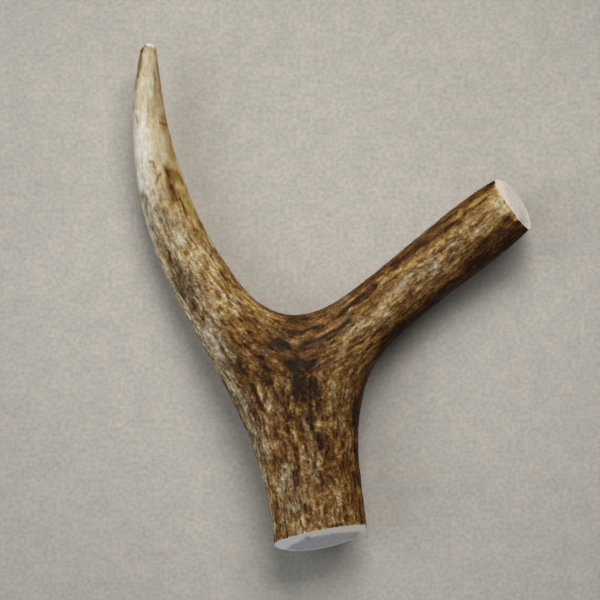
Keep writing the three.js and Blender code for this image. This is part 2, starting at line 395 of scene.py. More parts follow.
STROKES = [
    # points, width, tone, groove depth, hue (golden +, grey -)
    # sawn beam, pale streaks
    ([(264, 438), (267, 456)], 3.0, 0.16, -0.04, -0.4),
    ([(269, 447), (280, 444)], 3.6, 0.11, 0.0, -0.2),
    ([(313, 430), (318, 425), (328, 427), (336, 423), (342, 419)], 3.0, 0.16, -0.05, 0.1),
    ([(345, 425), (348, 435), (349, 445), (343, 452)], 1.9, 0.14, -0.04, 0.1),
    ([(338, 489), (341, 504)], 2.2, 0.15, 0.0, -0.1),
    ([(303, 458), (306, 476)], 2.4, 0.10, 0.0, -0.2),
    ([(312, 464), (315, 479)], 2.4, 0.14, 0.0, -0.2),
    ([(319, 453), (320, 469)], 1.7, 0.15, 0.0, -0.2),
    ([(295, 430), (302, 445), (305, 458)], 2.4, 0.12, 0.0, -0.1),
    ([(281, 410), (286, 426)], 2.0, 0.13, 0.0, 0.0),
    ([(303, 419), (307, 428)], 1.6, 0.12, 0.0, 0.0),
    # pale grey bands down the left flank of the fork and beam: painted light, as if lit by cool light from the left
    ([(204, 326), (222, 362), (238, 395), (250, 426)], 7.5, 0.10, 0.0, -0.7),
    ([(250, 426), (258, 455), (266, 485), (271, 512), (274, 532)], 3.4, 0.13, 0.0, -0.7),
    ([(284, 466), (291, 467)], 4.0, 0.17, 0.0, -0.3),
    ([(284, 480), (290, 472)], 3.0, 0.12, 0.0, -0.3),
    ([(276, 487), (281, 495)], 4.6, 0.16, 0.0, -0.5),
    ([(272, 474), (273, 482)], 2.4, 0.13, 0.0, -0.5),
    ([(286, 505), (297, 509)], 4.4, 0.16, 0.0, -0.4),
    ([(291, 518), (294, 528), (302, 531)], 2.4, 0.15, 0.0, 0.0),
    ([(302, 512), (303, 524)], 2.0, 0.12, 0.0, 0.0),
    ([(282, 512), (285, 520)], 2.0, 0.08, 0.0, 0.0),
    ([(322, 494), (326, 503)], 2.8, 0.14, 0.0, 0.0),
    ([(309, 500), (318, 511)], 3.2, 0.07, 0.0, 0.0),
    ([(326, 518), (333, 526)], 2.6, 0.13, 0.0, 0.2),
    ([(290, 405), (297, 414)], 3.0, 0.09, 0.0, 0.1),
    ([(311, 434), (314, 450)], 2.0, 0.08, 0.0, 0.1),
    ([(299, 487), (304, 500)], 3.0, 0.06, 0.0, 0.0),
    # sawn beam, dark streaks
    ([(285, 410), (288, 420), (290, 434)], 2.2, -0.20, 0.10, 0.0),
    ([(291, 438), (294, 447), (297, 457)], 2.5, -0.20, 0.10, 0.0),
    ([(297, 463), (299, 483)], 2.3, -0.28, 0.12, -0.2),
    ([(320, 432), (323, 446)], 2.8, -0.20, 0.08, 0.1),
    ([(308, 402), (311, 413), (313, 426)], 2.8, -0.23, 0.08, 0.0),
    ([(274, 429), (276, 438)], 2.4, -0.16, 0.06, 0.1),
    ([(271, 452), (274, 463)], 2.1, -0.20, 0.08, 0.0),
    ([(278, 462), (283, 470)], 1.9, -0.18, 0.06, 0.0),
    ([(320, 402), (322, 413)], 2.4, -0.17, 0.06, 0.0),
    ([(345, 498), (347, 516)], 2.3, -0.16, 0.05, 0.2),
    ([(305, 517), (307, 531)], 1.9, -0.19, 0.05, 0.2),
    ([(275, 504), (278, 531)], 2.3, -0.19, 0.05, 0.0),
    # wide dark bands along the beam's right edge: painted shade
    ([(354, 398), (356, 425), (357, 452)], 5.0, -0.20, 0.0, 0.3),
    ([(358, 452), (362, 490), (366, 522)], 4.0, -0.17, 0.0, 0.4),
    ([(325, 440), (331, 448)], 3.4, -0.09, 0.0, 0.2),
    ([(318, 470), (322, 484)], 2.4, -0.12, 0.05, 0.1),
    ([(327, 452), (331, 466)], 2.0, -0.10, 0.05, 0.1),
    ([(326, 508), (329, 519)], 1.5, -0.10, 0.04, 0.2),
    ([(346, 517), (347, 527)], 2.0, -0.12, 0.30, 0.1),
    # painted shade along the beam's right side
    ([(350, 470), (356, 500)], 5.0, -0.07, 0.0, 0.3),
    # fork, dark
    ([(270, 345), (288, 346)], 4.6, -0.26, 0.07, -0.2),
    ([(290, 332), (306, 331)], 2.6, -0.26, 0.08, 0.0),
    ([(306, 330), (322, 325)], 1.8, -0.14, 0.06, 0.1),
    ([(297, 351), (312, 342), (325, 336)], 1.8, -0.24, 0.15, 0.1),
    ([(325, 336), (338, 329), (348, 320)], 2.2, -0.26, 0.15, 0.1),
    ([(253, 372), (262, 389)], 2.3, -0.19, 0.08, 0.0),
    ([(260, 358), (268, 374)], 2.2, -0.28, 0.08, 0.0),
    ([(268, 376), (273, 386)], 1.8, -0.20, 0.07, 0.0),
    ([(254, 389), (261, 399), (266, 410)], 2.5, -0.27, 0.09, 0.0),
    ([(247, 345), (256, 358)], 2.0, -0.18, 0.06, 0.1),
    ([(286, 402), (292, 408)], 2.4, -0.10, 0.05, 0.1),
    ([(327, 368), (323, 390)], 2.2, -0.17, 0.05, 0.1),
    ([(238, 385), (246, 402)], 1.8, -0.15, 0.08, 0.0),
    ([(244, 396), (252, 412)], 1.6, -0.15, 0.08, 0.0),
    ([(248, 408), (258, 428)], 1.8, -0.15, 0.08, 0.0),
    ([(233, 366), (240, 382)], 1.5, -0.12, 0.06, 0.0),
    ([(288, 319), (309, 320)], 2.6, -0.12, 0.03, 0.2),
    ([(275, 392), (280, 404)], 2.0, -0.14, 0.05, 0.1),
    ([(316, 356), (323, 348)], 2.0, -0.14, 0.05, 0.1),
    # fork, pale
    ([(339, 354), (349, 338), (359, 327), (372, 320), (386, 312)], 4.6, 0.13, -0.08, -0.25),
    ([(330, 408), (334, 380), (341, 356)], 4.8, 0.09, -0.05, 0.1),
    ([(257, 379), (262, 392), (268, 409)], 2.4, 0.20, -0.06, -0.2),
    ([(279, 377), (286, 390)], 2.8, 0.14, -0.04, 0.1),
    ([(283, 366), (287, 376)], 2.0, 0.12, -0.03, 0.1),
    ([(275, 355), (281, 366)], 4.0, 0.07, 0.0, 0.3),
    ([(305, 371), (307, 379)], 1.8, 0.15, 0.0, 0.0),
    ([(315, 368), (317, 381)], 2.0, 0.17, 0.0, 0.1),
    ([(321, 354), (328, 346)], 2.4, 0.10, 0.0, 0.2),
    ([(226, 296), (236, 310)], 5.0, 0.09, 0.0, -0.2),
    ([(254, 306), (270, 316), (284, 318)], 2.6, 0.12, -0.04, 0.5),
    ([(292, 325), (308, 325), (328, 317)], 2.2, 0.08, -0.03, 0.5),
    ([(294, 341), (312, 336), (330, 327)], 2.8, 0.11, -0.05, 0.4),
    ([(268, 392), (278, 410)], 2.0, 0.07, 0.0, 0.1),
    ([(206, 332), (217, 350)], 2.2, 0.09, 0.0, -0.5),
    ([(218, 340), (230, 358)], 2.0, 0.08, 0.0, -0.4),
    ([(228, 372), (238, 390)], 2.4, 0.08, 0.0, -0.6),
    ([(244, 398), (250, 410)], 2.2, 0.10, 0.0, -0.5),
    # lower right flank of the branch and the beam's edge up to it: painted shade, almost black, on bark that is also
    # darker there
    ([(358, 424), (362, 396), (372, 373), (385, 351)], 6.0, -0.26, 0.0, 0.0),
    ([(384, 347), (402, 325), (420, 310), (440, 294), (465, 275), (490, 255), (512, 238), (527, 229)], 8.5, -0.27, 0.0, 0.0),
    ([(390, 347), (408, 328), (440, 302), (465, 283), (495, 260), (527, 234)], 7.0, -0.20, 0.0, 0.0),
    ([(462, 262), (476, 250), (490, 238), (502, 228), (514, 221)], 5.5, -0.17, 0.0, 0.0),
    ([(470, 262), (490, 246), (508, 232)], 6.0, -0.12, 0.0, 0.0),
    # branch, dark
    # thin dark line along the branch's upper edge: painted shade added to the shading from its form
    ([(348, 293), (400, 254), (450, 217), (494, 182)], 2.2, -0.22, 0.0, 0.0),
    ([(350, 297), (363, 286), (373, 279), (385, 273)], 1.9, -0.20, 0.08, 0.1),
    ([(391, 267), (403, 258), (416, 250), (429, 240), (447, 229)], 3.0, -0.25, 0.10, 0.1),
    ([(340, 311), (350, 304.5), (360, 298), (376, 288)], 2.1, -0.30, 0.16, 0.1),
    ([(405, 264), (425, 250), (436, 243)], 1.5, -0.14, 0.08, 0.1),
    ([(385, 285), (397, 276), (405, 270)], 1.2, -0.13, 0.06, 0.2),
    ([(447, 229), (461, 219), (470, 208)], 2.8, -0.14, 0.04, 0.6),
    ([(447, 239), (455, 237)], 1.6, -0.24, 0.12, 0.2),
    ([(439, 250), (446, 250)], 1.6, -0.20, 0.10, 0.2),
    ([(452, 254), (460, 249), (470, 241)], 1.5, -0.22, 0.12, 0.1),
    ([(477, 226), (485, 220)], 1.6, -0.25, 0.12, 0.1),
    ([(482, 217), (488, 214)], 1.4, -0.15, 0.08, 0.1),
    ([(432, 247), (437, 252)], 1.6, -0.14, 0.06, 0.2),
    ([(448, 262), (456, 257)], 1.4, -0.13, 0.08, 0.1),
    ([(408, 281), (414, 276)], 1.4, -0.10, 0.08, 0.1),
    ([(425, 277), (431, 275)], 1.6, -0.12, 0.08, 0.1),
    ([(504, 219), (518, 221)], 2.8, -0.22, 0.05, 0.2),
    ([(364, 315), (369, 316)], 1.6, -0.14, 0.08, 0.3),
    ([(371, 303), (377, 308)], 1.6, -0.10, 0.06, 0.3),
    ([(353, 324), (356, 327)], 1.8, -0.12, 0.05, 0.5),
    # branch, golden and pale
    ([(351, 300), (358, 296)], 2.0, 0.12, 0.0, -0.1),
    ([(379, 284), (391, 276), (402, 268), (414, 259), (423, 254)], 3.4, 0.11, -0.03, 0.5),
    ([(429, 251), (437, 243)], 3.0, 0.08, -0.02, 0.4),
    ([(453, 222), (463, 214), (476, 203), (490, 192)], 4.6, 0.03, 0.0, 0.8),
    ([(385, 306), (397, 291), (408, 281), (420, 273), (433, 262)], 4.2, 0.13, -0.10, -0.15),
    ([(350, 330), (360, 321), (372, 315)], 3.6, 0.07, -0.05, -0.1),
    ([(441, 256), (450, 250), (457, 246)], 3.0, 0.13, -0.08, -0.1),
    ([(453, 233), (465, 227), (475, 221), (486, 212), (497, 203)], 3.4, 0.14, -0.10, 0.0),
    ([(473, 240), (480, 232), (488, 227)], 4.6, 0.16, -0.06, -0.15),
    ([(494, 200), (500, 212)], 3.8, 0.14, 0.0, -0.1),
    ([(504, 203), (508, 208)], 2.0, 0.12, 0.0, 0.5),
    ([(462, 246), (474, 238)], 2.4, 0.08, 0.0, -0.2),
    ([(400, 300), (420, 286)], 4.0, 0.05, 0.0, 0.0),
    ([(476, 206), (492, 200)], 4.0, 0.07, 0.0, 0.3),
    # tine, golden side and its brown streaks
    ([(171, 152), (181, 180), (193, 213)], 6.0, -0.08, 0.0, 0.6),
    ([(193, 213), (206, 242), (222, 268), (240, 293), (258, 307)], 6.0, 0.03, 0.0, 0.6),
    ([(170, 158), (180, 176), (190, 200)], 5.0, -0.08, 0.0, 0.4),
    ([(167, 166), (168, 176), (170, 186)], 2.5, -0.23, 0.05, 0.3),
    ([(172, 186), (174, 202)], 3.0, -0.20, 0.05, 0.4),
    ([(171, 171), (176, 182)], 2.4, -0.20, 0.04, 0.3),
    ([(176, 172), (181, 184)], 1.8, -0.18, 0.04, 0.5),
    ([(165, 182), (168, 192)], 2.2, -0.15, 0.04, 0.1),
    ([(180, 200), (187, 213)], 2.4, -0.17, 0.04, 0.6),
    ([(190, 218), (195, 229)], 1.9, -0.16, 0.04, 0.6),
    ([(172, 206), (178, 216)], 1.6, -0.10, 0.03, 0.4),
    ([(221, 272), (231, 286), (241, 297)], 3.8, -0.12, 0.03, 0.5),
    ([(221, 273), (223, 276)], 1.6, -0.12, 0.03, 0.4),
    ([(204, 258), (207, 263)], 1.4, -0.12, 0.03, 0.3),
    ([(205, 244), (216, 272)], 4.0, 0.09, 0.0, 0.4),
    # tine, pale middle, grey left
    ([(150, 205), (160, 232), (170, 250)], 6.0, 0.08, 0.0, -0.6),
    ([(176, 236), (182, 246)], 4.2, 0.10, -0.04, -0.3),
    ([(190, 256), (200, 268)], 5.0, 0.10, -0.03, 0.0),
    ([(212, 278), (221, 289), (228, 301)], 2.6, 0.13, -0.04, 0.0),
    ([(212, 290), (214, 304)], 3.6, 0.08, 0.0, -0.2),
    ([(193, 240), (200, 256)], 4.0, 0.05, 0.0, 0.2),
    ([(163, 243), (168, 256), (171, 268)], 2.2, -0.24, 0.05, -0.3),
    ([(175, 262), (180, 278), (187, 292)], 4.6, -0.17, 0.05, -0.6),
    ([(190, 275), (192, 292), (195, 308)], 3.6, -0.20, 0.03, -0.4),
    ([(172, 277), (179, 290), (188, 303)], 1.6, -0.14, 0.04, -0.3),
    ([(192, 303), (196, 311)], 2.1, -0.22, 0.04, -0.2),
    ([(203, 312), (204, 319)], 1.9, -0.18, 0.03, -0.2),
    ([(206, 322), (211, 325)], 2.0, -0.12, 0.03, 0.0),
    # pale grey stroke along the tine's left flank: painted light, as if lit by cool light from the left
    ([(151, 234), (163, 264), (173, 285), (186, 310), (200, 332)], 2.8, 0.21, 0.0, -0.7),
    ([(137, 175), (142, 205), (150, 232)], 2.4, 0.08, 0.0, -0.6),
    ([(146, 205), (148, 216)], 1.5, -0.17, 0.02, -0.3),
    ([(142, 188), (144, 201)], 1.1, -0.14, 0.02, -0.3),
    ([(155, 208), (158, 216), (161, 223)], 1.3, -0.16, 0.03, -0.3),
    ([(150, 221), (152, 233)], 1.3, -0.12, 0.03, -0.2),
    ([(163, 210), (166, 223)], 1.3, -0.13, 0.03, -0.2),
    ([(158, 190), (161, 204)], 1.2, -0.11, 0.03, -0.1),
    ([(152, 190), (153, 201)], 1.1, -0.11, 0.02, -0.2),
    ([(154, 228), (158, 242)], 2.2, -0.14, 0.03, -0.3),
    ([(182, 203), (186, 214)], 1.3, -0.10, 0.03, 0.4),
    # ivory
    ([(156, 47), (158, 62), (161, 85), (165, 110), (170, 135), (176, 158)], 2.4, -0.15, 0.0, 0.0),
    ([(154, 66), (158, 98), (163, 128), (170, 150)], 4.0, -0.07, 0.0, 0.35),
    ([(154, 82), (155, 97)], 2.8, -0.10, 0.0, 0.2),
    ([(154, 74), (154, 80)], 1.4, -0.12, 0.0, 0.2),
    ([(146.5, 42), (141.5, 48), (139.5, 60), (136.5, 76)], 2.2, -0.42, 0.0, -0.1),
    ([(135, 78), (133, 108)], 2.2, -0.17, 0.0, -0.3),
    ([(143, 72), (145, 75)], 1.2, -0.12, 0.0, -0.3),
    ([(148, 95), (150, 118)], 0.9, -0.10, 0.0, 0.0),
    ([(148, 106), (149, 114)], 1.2, -0.12, 0.0, 0.0),
    ([(135, 116), (137, 122)], 1.2, -0.22, 0.0, 0.0),
    ([(160, 123), (167, 124)], 1.0, -0.20, 0.05, 0.2),
    ([(147, 163), (151, 164), (154, 169)], 1.4, -0.26, 0.03, 0.0),
    ([(160, 176), (156, 183)], 1.6, -0.24, 0.03, 0.0),
    ([(154, 172), (157, 178)], 1.1, -0.12, 0.02, 0.0),
    ([(152, 100), (154, 135)], 2.2, -0.05, 0.0, 0.1),
    ([(158, 150), (160, 164)], 1.4, -0.07, 0.02, 0.1),
    # left of the fork
    ([(234, 330), (246, 345), (254, 352)], 4.0, -0.10, 0.0, 0.1),
    ([(234, 296), (246, 302)], 2.2, 0.10, 0.0, 0.2),
    ([(168, 172), (172, 186), (176, 199)], 4.6, -0.11, 0.02, 0.6),
    # pale grey band on the beam's left edge: painted light from the left
    ([(246, 430), (256, 462), (264, 500), (270, 535)], 4.6, 0.07, 0.0, -0.8),
    ([(338, 317), (349, 307), (360, 300)], 2.6, -0.16, 0.08, 0.0),
    ([(338, 328), (350, 318)], 3.0, -0.16, 0.08, 0.0),
    ([(283, 358), (290, 367)], 3.0, -0.12, 0.04, -0.2),
    ([(497, 187), (500, 195), (505, 204)], 1.9, 0.30, 0.03, 0.0),
    ([(507, 208), (512, 213)], 1.6, 0.16, 0.0, 0.0),
    # broad pale grey band on the fork's left flank: painted light from the left
    ([(210, 335), (228, 370), (244, 405), (254, 430)], 9.0, 0.02, 0.0, -0.6),
    ([(257, 358), (262, 370), (268, 384)], 2.6, -0.20, 0.10, -0.2),
    ([(251, 384), (257, 395), (264, 408)], 3.0, -0.22, 0.12, -0.2),
    ([(239, 366), (246, 380), (251, 388)], 1.8, -0.15, 0.08, 0.0),
    ([(231, 348), (237, 362), (243, 376)], 2.2, -0.12, 0.06, 0.1),
    ([(258, 380), (263, 392), (269, 408)], 2.3, 0.16, -0.04, -0.1),
    ([(252, 404), (258, 416), (262, 426)], 2.0, -0.14, 0.08, 0.0),
    ([(236, 384), (243, 396)], 1.6, -0.12, 0.06, -0.2),
    ([(244, 396), (249, 408)], 2.2, 0.12, -0.03, -0.6),
    ([(243, 412), (249, 424)], 1.6, 0.10, -0.03, -0.5),
    ([(222, 372), (232, 388), (238, 396)], 2.4, 0.08, -0.02, -0.7),
    ([(212, 332), (219, 346), (226, 358)], 1.5, -0.10, 0.05, -0.2),
    ([(206, 334), (212, 348)], 1.5, -0.08, 0.05, -0.2),
    ([(249, 362), (254, 372)], 3.0, 0.05, 0.0, 0.6),
    ([(240, 408), (246, 422), (252, 438), (257, 452)], 3.0, -0.14, 0.0, -0.1),
    ([(357, 330), (372, 322), (388, 313)], 2.4, 0.10, -0.03, -0.1),
    ([(150, 203), (157, 219), (165, 236)], 2.6, -0.07, 0.0, 0.2),
    ([(312, 329), (326, 323), (338, 316), (346, 308), (356, 299), (366, 291), (376, 284)], 1.5, -0.17, 0.08, 0.1),
    ([(303, 348), (315, 341), (327, 335), (338, 328), (346, 320), (353, 313)], 1.4, -0.15, 0.08, 0.1),
    ([(312, 336), (326, 330), (340, 321)], 1.8, 0.10, 0.0, 0.3),
    ([(420, 243), (436, 233), (452, 223), (466, 212)], 1.3, -0.14, 0.06, 0.2),
    ([(169, 173), (172, 178)], 3.6, -0.15, 0.02, 0.4),
    ([(167, 180), (168, 187)], 3.2, -0.13, 0.02, 0.4),
    ([(173, 188), (174, 201)], 4.0, -0.15, 0.02, 0.5),
    ([(178, 174), (181, 182)], 2.0, -0.12, 0.02, 0.4),
    ([(176, 183), (179, 188)], 2.4, 0.02, 0.0, 0.2),
    ([(180, 200), (184, 207)], 3.0, -0.09, 0.02, 0.5),
    ([(146, 198), (147, 202)], 1.6, -0.13, 0.02, -0.1),
    ([(150, 190), (152, 194)], 1.5, -0.13, 0.02, -0.1),
    ([(142, 190), (143, 196)], 1.5, -0.10, 0.02, -0.1),
    ([(160, 197), (161, 202)], 1.6, -0.13, 0.02, 0.0),
    ([(146, 211), (148, 216)], 1.8, -0.14, 0.02, 0.0),
    ([(157, 206), (159, 211)], 1.6, -0.14, 0.02, 0.0),
    ([(164, 211), (166, 216)], 1.8, -0.13, 0.02, 0.0),
    ([(170, 205), (173, 210)], 1.8, -0.10, 0.02, 0.2),
    ([(154, 193), (155, 198)], 2.6, 0.08, 0.0, -0.1),
    ([(148, 186), (149, 190)], 3.0, 0.05, 0.0, -0.1),
    ([(163, 204), (165, 208)], 2.2, 0.08, 0.0, 0.0),
    ([(152, 203), (154, 208)], 2.2, 0.07, 0.0, 0.0),
    ([(141, 48), (139, 62), (137, 75)], 2.4, 0.02, 0.0, -0.5),
    ([(438, 222), (455, 209), (470, 197), (483, 187), (493, 180)], 2.4, -0.16, 0.0, -0.1),
]
BLOBS = [
    # centre, radii, angle, tone, softness, hue
    ((301, 371), (17, 15), 0, -0.20, 0.30, -0.3),
    ((306, 391), (13, 11), 0, -0.20, 0.35, -0.3),
    ((312, 417), (4, 11), 0, -0.07, 0.6, 0.0),
    ((250, 317), (9, 13), 0, -0.14, 0.5, 0.3),
    ((232, 321), (9, 5), 0, -0.13, 0.5, 0.2),
    ((244, 340), (8, 9), 0, -0.08, 0.5, 0.3),
    ((295, 526), (10, 8), 0, 0.04, 0.6, 0.0),
    ((337, 440), (10, 9), 0, -0.08, 0.6, 0.3),
    # darker right side of the beam: painted shade
    ((345, 470), (13, 17), 0, -0.06, 0.6, 0.3),
    ((355, 505), (8, 18), 0, -0.06, 0.6, 0.5),
    ((434, 264), (5, 5), 0, 0.10, 0.6, -0.8),
    # darker lower flank of the branch: painted shade
    ((492, 245), (36, 8), -37, -0.08, 0.5, 0.0),
    ((362, 308), (8, 6), 0, -0.03, 0.6, 0.5),
    ((175, 240), (6, 10), 10, 0.03, 0.6, -0.2),
    ((143, 140), (9, 32), 0, 0.07, 0.7, -1.0),
    ((143, 182), (7, 14), 0, 0.00, 0.7, -0.7),
    ((146, 95), (8, 18), 0, 0.02, 0.7, -0.3),
    ((373, 322), (7, 5), -30, 0.15, 0.5, -0.1),
    ((350, 334), (6, 4), -40, 0.13, 0.5, -0.1),
    ((402, 287), (9, 4), -35, 0.11, 0.5, -0.1),
    ((370, 290), (4, 3), -35, 0.07, 0.5, 0.0),
    ((413, 252), (5, 3), -35, 0.08, 0.5, 0.2),
    ((504, 209), (4, 6), -30, 0.20, 0.5, 0.2),
    ((480, 233), (5, 4), -35, 0.15, 0.5, -0.3),
    ((463, 230), (5, 4), -35, 0.11, 0.5, -0.1),
    ((439, 268), (6, 6), -35, 0.09, 0.5, -0.2),
    ((487, 247), (8, 5), -35, 0.06, 0.5, 0.0),
    ((210, 238), (4, 9), -25, 0.11, 0.5, 0.2),
    ((225, 273), (4, 7), -25, 0.12, 0.5, 0.3),
    ((173, 260), (3, 6), -25, 0.08, 0.5, -0.3),
    ((212, 321), (9, 7), -30, 0.13, 0.5, -0.2),
    ((160, 220), (5, 6), -20, 0.08, 0.5, -0.3),
    ((197, 250), (5, 6), -20, 0.08, 0.5, 0.0),
    ((237, 297), (5, 4), 30, 0.08, 0.5, 0.2),
    ((273, 360), (5, 6), 0, 0.10, 0.5, 0.2),
    ((253, 367), (4, 5), -20, 0.08, 0.5, 0.2),
    ((348, 373), (5, 10), 10, 0.11, 0.5, 0.1),
    ((337, 392), (5, 8), 0, 0.07, 0.5, 0.1),
    ((330, 357), (5, 5), 0, 0.08, 0.5, 0.1),
    ((290, 409), (4, 7), -15, 0.15, 0.5, 0.1),
    ((300, 423), (4, 6), -10, 0.10, 0.5, 0.1),
    ((283, 434), (4, 7), -10, 0.10, 0.5, 0.0),
    ((285, 470), (4, 8), 0, 0.13, 0.5, -0.2),
    ((283, 483), (4, 5), 0, 0.11, 0.5, -0.3),
    ((297, 502), (6, 6), 0, 0.12, 0.5, -0.1),
    ((300, 522), (4, 7), 0, 0.13, 0.5, 0.0),
    ((338, 520), (6, 5), 0, 0.13, 0.5, 0.2),
    ((327, 483), (5, 5), 0, 0.08, 0.5, 0.0),
    ((355, 492), (4, 6), 0, 0.07, 0.5, 0.2),
    ((255, 386), (3, 7), -20, -0.10, 0.5, 0.0),
    ((292, 367), (5, 6), 0, -0.10, 0.5, -0.2),
    ((313, 390), (5, 6), 0, -0.12, 0.5, -0.2),
    ((393, 267), (7, 3), -35, -0.10, 0.5, 0.0),
    ((457, 223), (6, 3), -35, -0.08, 0.5, 0.2),
    ((477, 260), (9, 5), -35, -0.08, 0.5, 0.0),
    ((401, 307), (8, 5), -35, -0.05, 0.5, 0.0),
    ((213, 340), (4, 6), -30, -0.10, 0.5, 0.0),
    ((173, 287), (4, 6), -20, -0.07, 0.5, -0.2),
    ((143, 187), (4, 4), 0, -0.08, 0.5, 0.0),
    ((162, 193), (5, 6), 0, -0.05, 0.5, -0.2),
    # darker fork and crotch between tine and branch: painted shade
    ((302, 342), (44, 16), 0, -0.07, 0.6, 0.0),
    ((302, 322), (42, 8), 0, -0.05, 0.6, 0.0),
    ((281, 345), (11, 6), 5, -0.12, 0.4, -0.3),
    ((301, 364), (15, 8), 0, -0.13, 0.35, -0.3),
    ((295, 379), (8, 8), 0, -0.11, 0.4, -0.3),
    ((308, 392), (12, 8), 0, -0.13, 0.4, -0.3),
    ((300, 403), (6, 6), 0, -0.08, 0.5, 0.0),
    ((287, 372), (4, 6), 0, -0.06, 0.5, -0.1),
    ((290, 412), (4, 5), 0, 0.08, 0.5, 0.2),
    ((317, 428), (5, 6), 0, 0.10, 0.5, 0.1),
    ((283, 484), (4, 6), 0, 0.08, 0.5, 0.0),
    ((302, 521), (5, 7), 0, 0.08, 0.5, 0.3),
    ((338, 520), (6, 5), 0, 0.07, 0.5, 0.2),
    ((262, 391), (4, 5), -20, 0.07, 0.5, 0.0),
    ((377, 325), (7, 5), -35, 0.10, 0.5, 0.0),
    ((509, 209), (5, 7), -30, 0.13, 0.5, 0.0),
    ((412, 287), (5, 4), -35, 0.05, 0.5, 0.0),
    ((438, 277), (5, 5), -35, 0.06, 0.5, 0.0),
    ((210, 243), (5, 8), -25, 0.07, 0.5, 0.0),
    ((220, 287), (5, 7), -25, 0.07, 0.5, 0.2),
    ((210, 263), (4, 6), -25, 0.05, 0.5, 0.0),
    ((180, 260), (4, 6), -25, 0.06, 0.5, 0.0),
    ((222, 325), (5, 5), -25, 0.04, 0.5, 0.0),
    ((357, 493), (4, 6), 0, 0.05, 0.5, 0.1),
    ((403, 263), (6, 4), -35, -0.08, 0.5, 0.0),
    ((453, 223), (7, 3.5), -35, -0.10, 0.5, 0.1),
    ((435, 237), (6, 3), -35, -0.06, 0.5, 0.1),
    ((182, 284), (4, 6), -20, -0.05, 0.5, -0.2),
    ((237, 323), (5, 5), -20, -0.10, 0.5, 0.1),
    ((242, 303), (4, 4), -20, -0.05, 0.5, 0.1),
    ((202, 333), (4, 5), -25, -0.05, 0.5, 0.0),
    ((403, 307), (7, 5), -35, -0.06, 0.5, 0.0),
    ((463, 267), (8, 5), -35, -0.06, 0.5, 0.0),
    ((512, 227), (9, 5), -35, -0.07, 0.5, 0.0),
    ((340, 465), (5, 7), 0, 0.05, 0.5, 0.2),
    ((278, 536), (4, 5), 0, -0.06, 0.5, 0.0),
    ((237, 385), (4, 6), -20, -0.05, 0.5, 0.0),
    ((490, 187), (8, 3), -35, -0.06, 0.5, 0.1),
    ((160, 193), (8, 8), 0, -0.02, 0.6, -0.35),
    ((147, 204), (6, 10), -10, 0.03, 0.6, -0.5),
    ((160, 226), (4, 9), -20, -0.06, 0.5, 0.0),
    ((176, 281), (5, 11), -20, -0.09, 0.5, -0.5),
    ((193, 289), (4, 7), -25, 0.09, 0.5, 0.0),
    ((143, 230), (5, 20), -15, 0.03, 0.6, -0.5),
    ((170, 215), (8, 14), -15, 0.02, 0.6, -0.3),
    ((296, 388), (6, 7), 0, 0.03, 0.5, 0.0),
    ((317, 322), (7, 4), 0, 0.07, 0.5, 0.5),
    ((305, 335), (9, 3), -15, 0.07, 0.5, 0.4),
    ((362, 326), (6, 5), -30, 0.08, 0.5, 0.0),
    ((372, 331), (5, 4), -35, 0.08, 0.5, 0.0),
    ((503, 212), (4, 5), -30, -0.04, 0.5, 0.0),
    ((517, 216), (4, 4), -30, 0.08, 0.5, 0.0),
    ((420, 254), (7, 4), -35, 0.06, 0.5, 0.1),
    ((458, 225), (6, 4), -35, -0.07, 0.5, 0.0),
    ((150, 196), (5, 5), 0, 0.00, 0.5, -0.2),
    ((182, 292), (4, 8), -25, -0.06, 0.5, -0.3),
    ((176, 262), (4, 8), -25, 0.05, 0.5, -0.1),
    ((228, 310), (6, 7), -25, -0.05, 0.5, 0.1),
    ((190, 222), (5, 8), -25, 0.05, 0.5, 0.2),
    # paler, greyer spots on the beam's left edge: painted light from the left
    ((262, 452), (4, 8), 0, 0.07, 0.5, -0.4),
    ((266, 478), (4, 10), 0, 0.06, 0.5, -0.5),
    ((277, 508), (5, 10), 0, 0.04, 0.5, -0.3),
    ((307, 530), (10, 5), 0, 0.06, 0.5, 0.2),
    ((142, 48), (4, 4), 0, -0.22, 0.4, 0.1),
    ((158, 85), (6, 36), 5, -0.03, 0.6, -0.4),
    ((165, 132), (6, 22), -12, -0.03, 0.6, -0.35),
    ((488, 190), (8, 4), -35, -0.06, 0.5, 0.0),
    ((453, 227), (6, 4), -35, -0.05, 0.5, 0.0),
    ((400, 263), (6, 4), -35, -0.06, 0.5, 0.0),
    ((443, 254), (5, 4), -35, 0.06, 0.5, 0.0),
    ((497, 207), (4, 5), -30, 0.08, 0.5, 0.1),
    ((515, 220), (4, 4), -30, 0.05, 0.5, 0.0),
    ((210, 320), (5, 5), -25, -0.07, 0.5, 0.0),
    ((250, 370), (4, 5), -20, 0.05, 0.5, 0.5),
    ((277, 380), (4, 7), -20, -0.08, 0.5, 0.0),
    ((297, 413), (4, 6), -10, 0.08, 0.5, 0.1),
    ((323, 427), (5, 6), 0, 0.06, 0.5, 0.1),
    ((310, 468), (4, 5), 0, 0.07, 0.5, 0.0),
    ((297, 520), (5, 6), 0, 0.08, 0.5, 0.1),
    ((340, 520), (5, 5), 0, 0.05, 0.5, 0.1),
    ((283, 483), (4, 5), 0, 0.06, 0.5, 0.0),
    ((267, 457), (4, 6), 0, 0.06, 0.5, -0.2),
    ((169, 172), (3.5, 6), -20, -0.09, 0.5, 0.3),
    ((174, 190), (4, 7), -15, -0.09, 0.5, 0.3),
    ((179, 185), (3, 4), 0, 0.06, 0.5, 0.2),
    ((185, 209), (3, 5), -25, 0.05, 0.5, 0.1),
    ((179, 237), (5, 8), -25, 0.06, 0.5, 0.0),
    ((190, 262), (5, 7), -20, 0.03, 0.5, 0.1),
    # painted shade in the crotch
    ((302, 322), (14, 6), 10, -0.04, 0.5, 0.1),
    ((455, 250), (12, 6), -35, -0.05, 0.5, 0.0),
    ((390, 283), (10, 7), -35, -0.05, 0.5, 0.4),
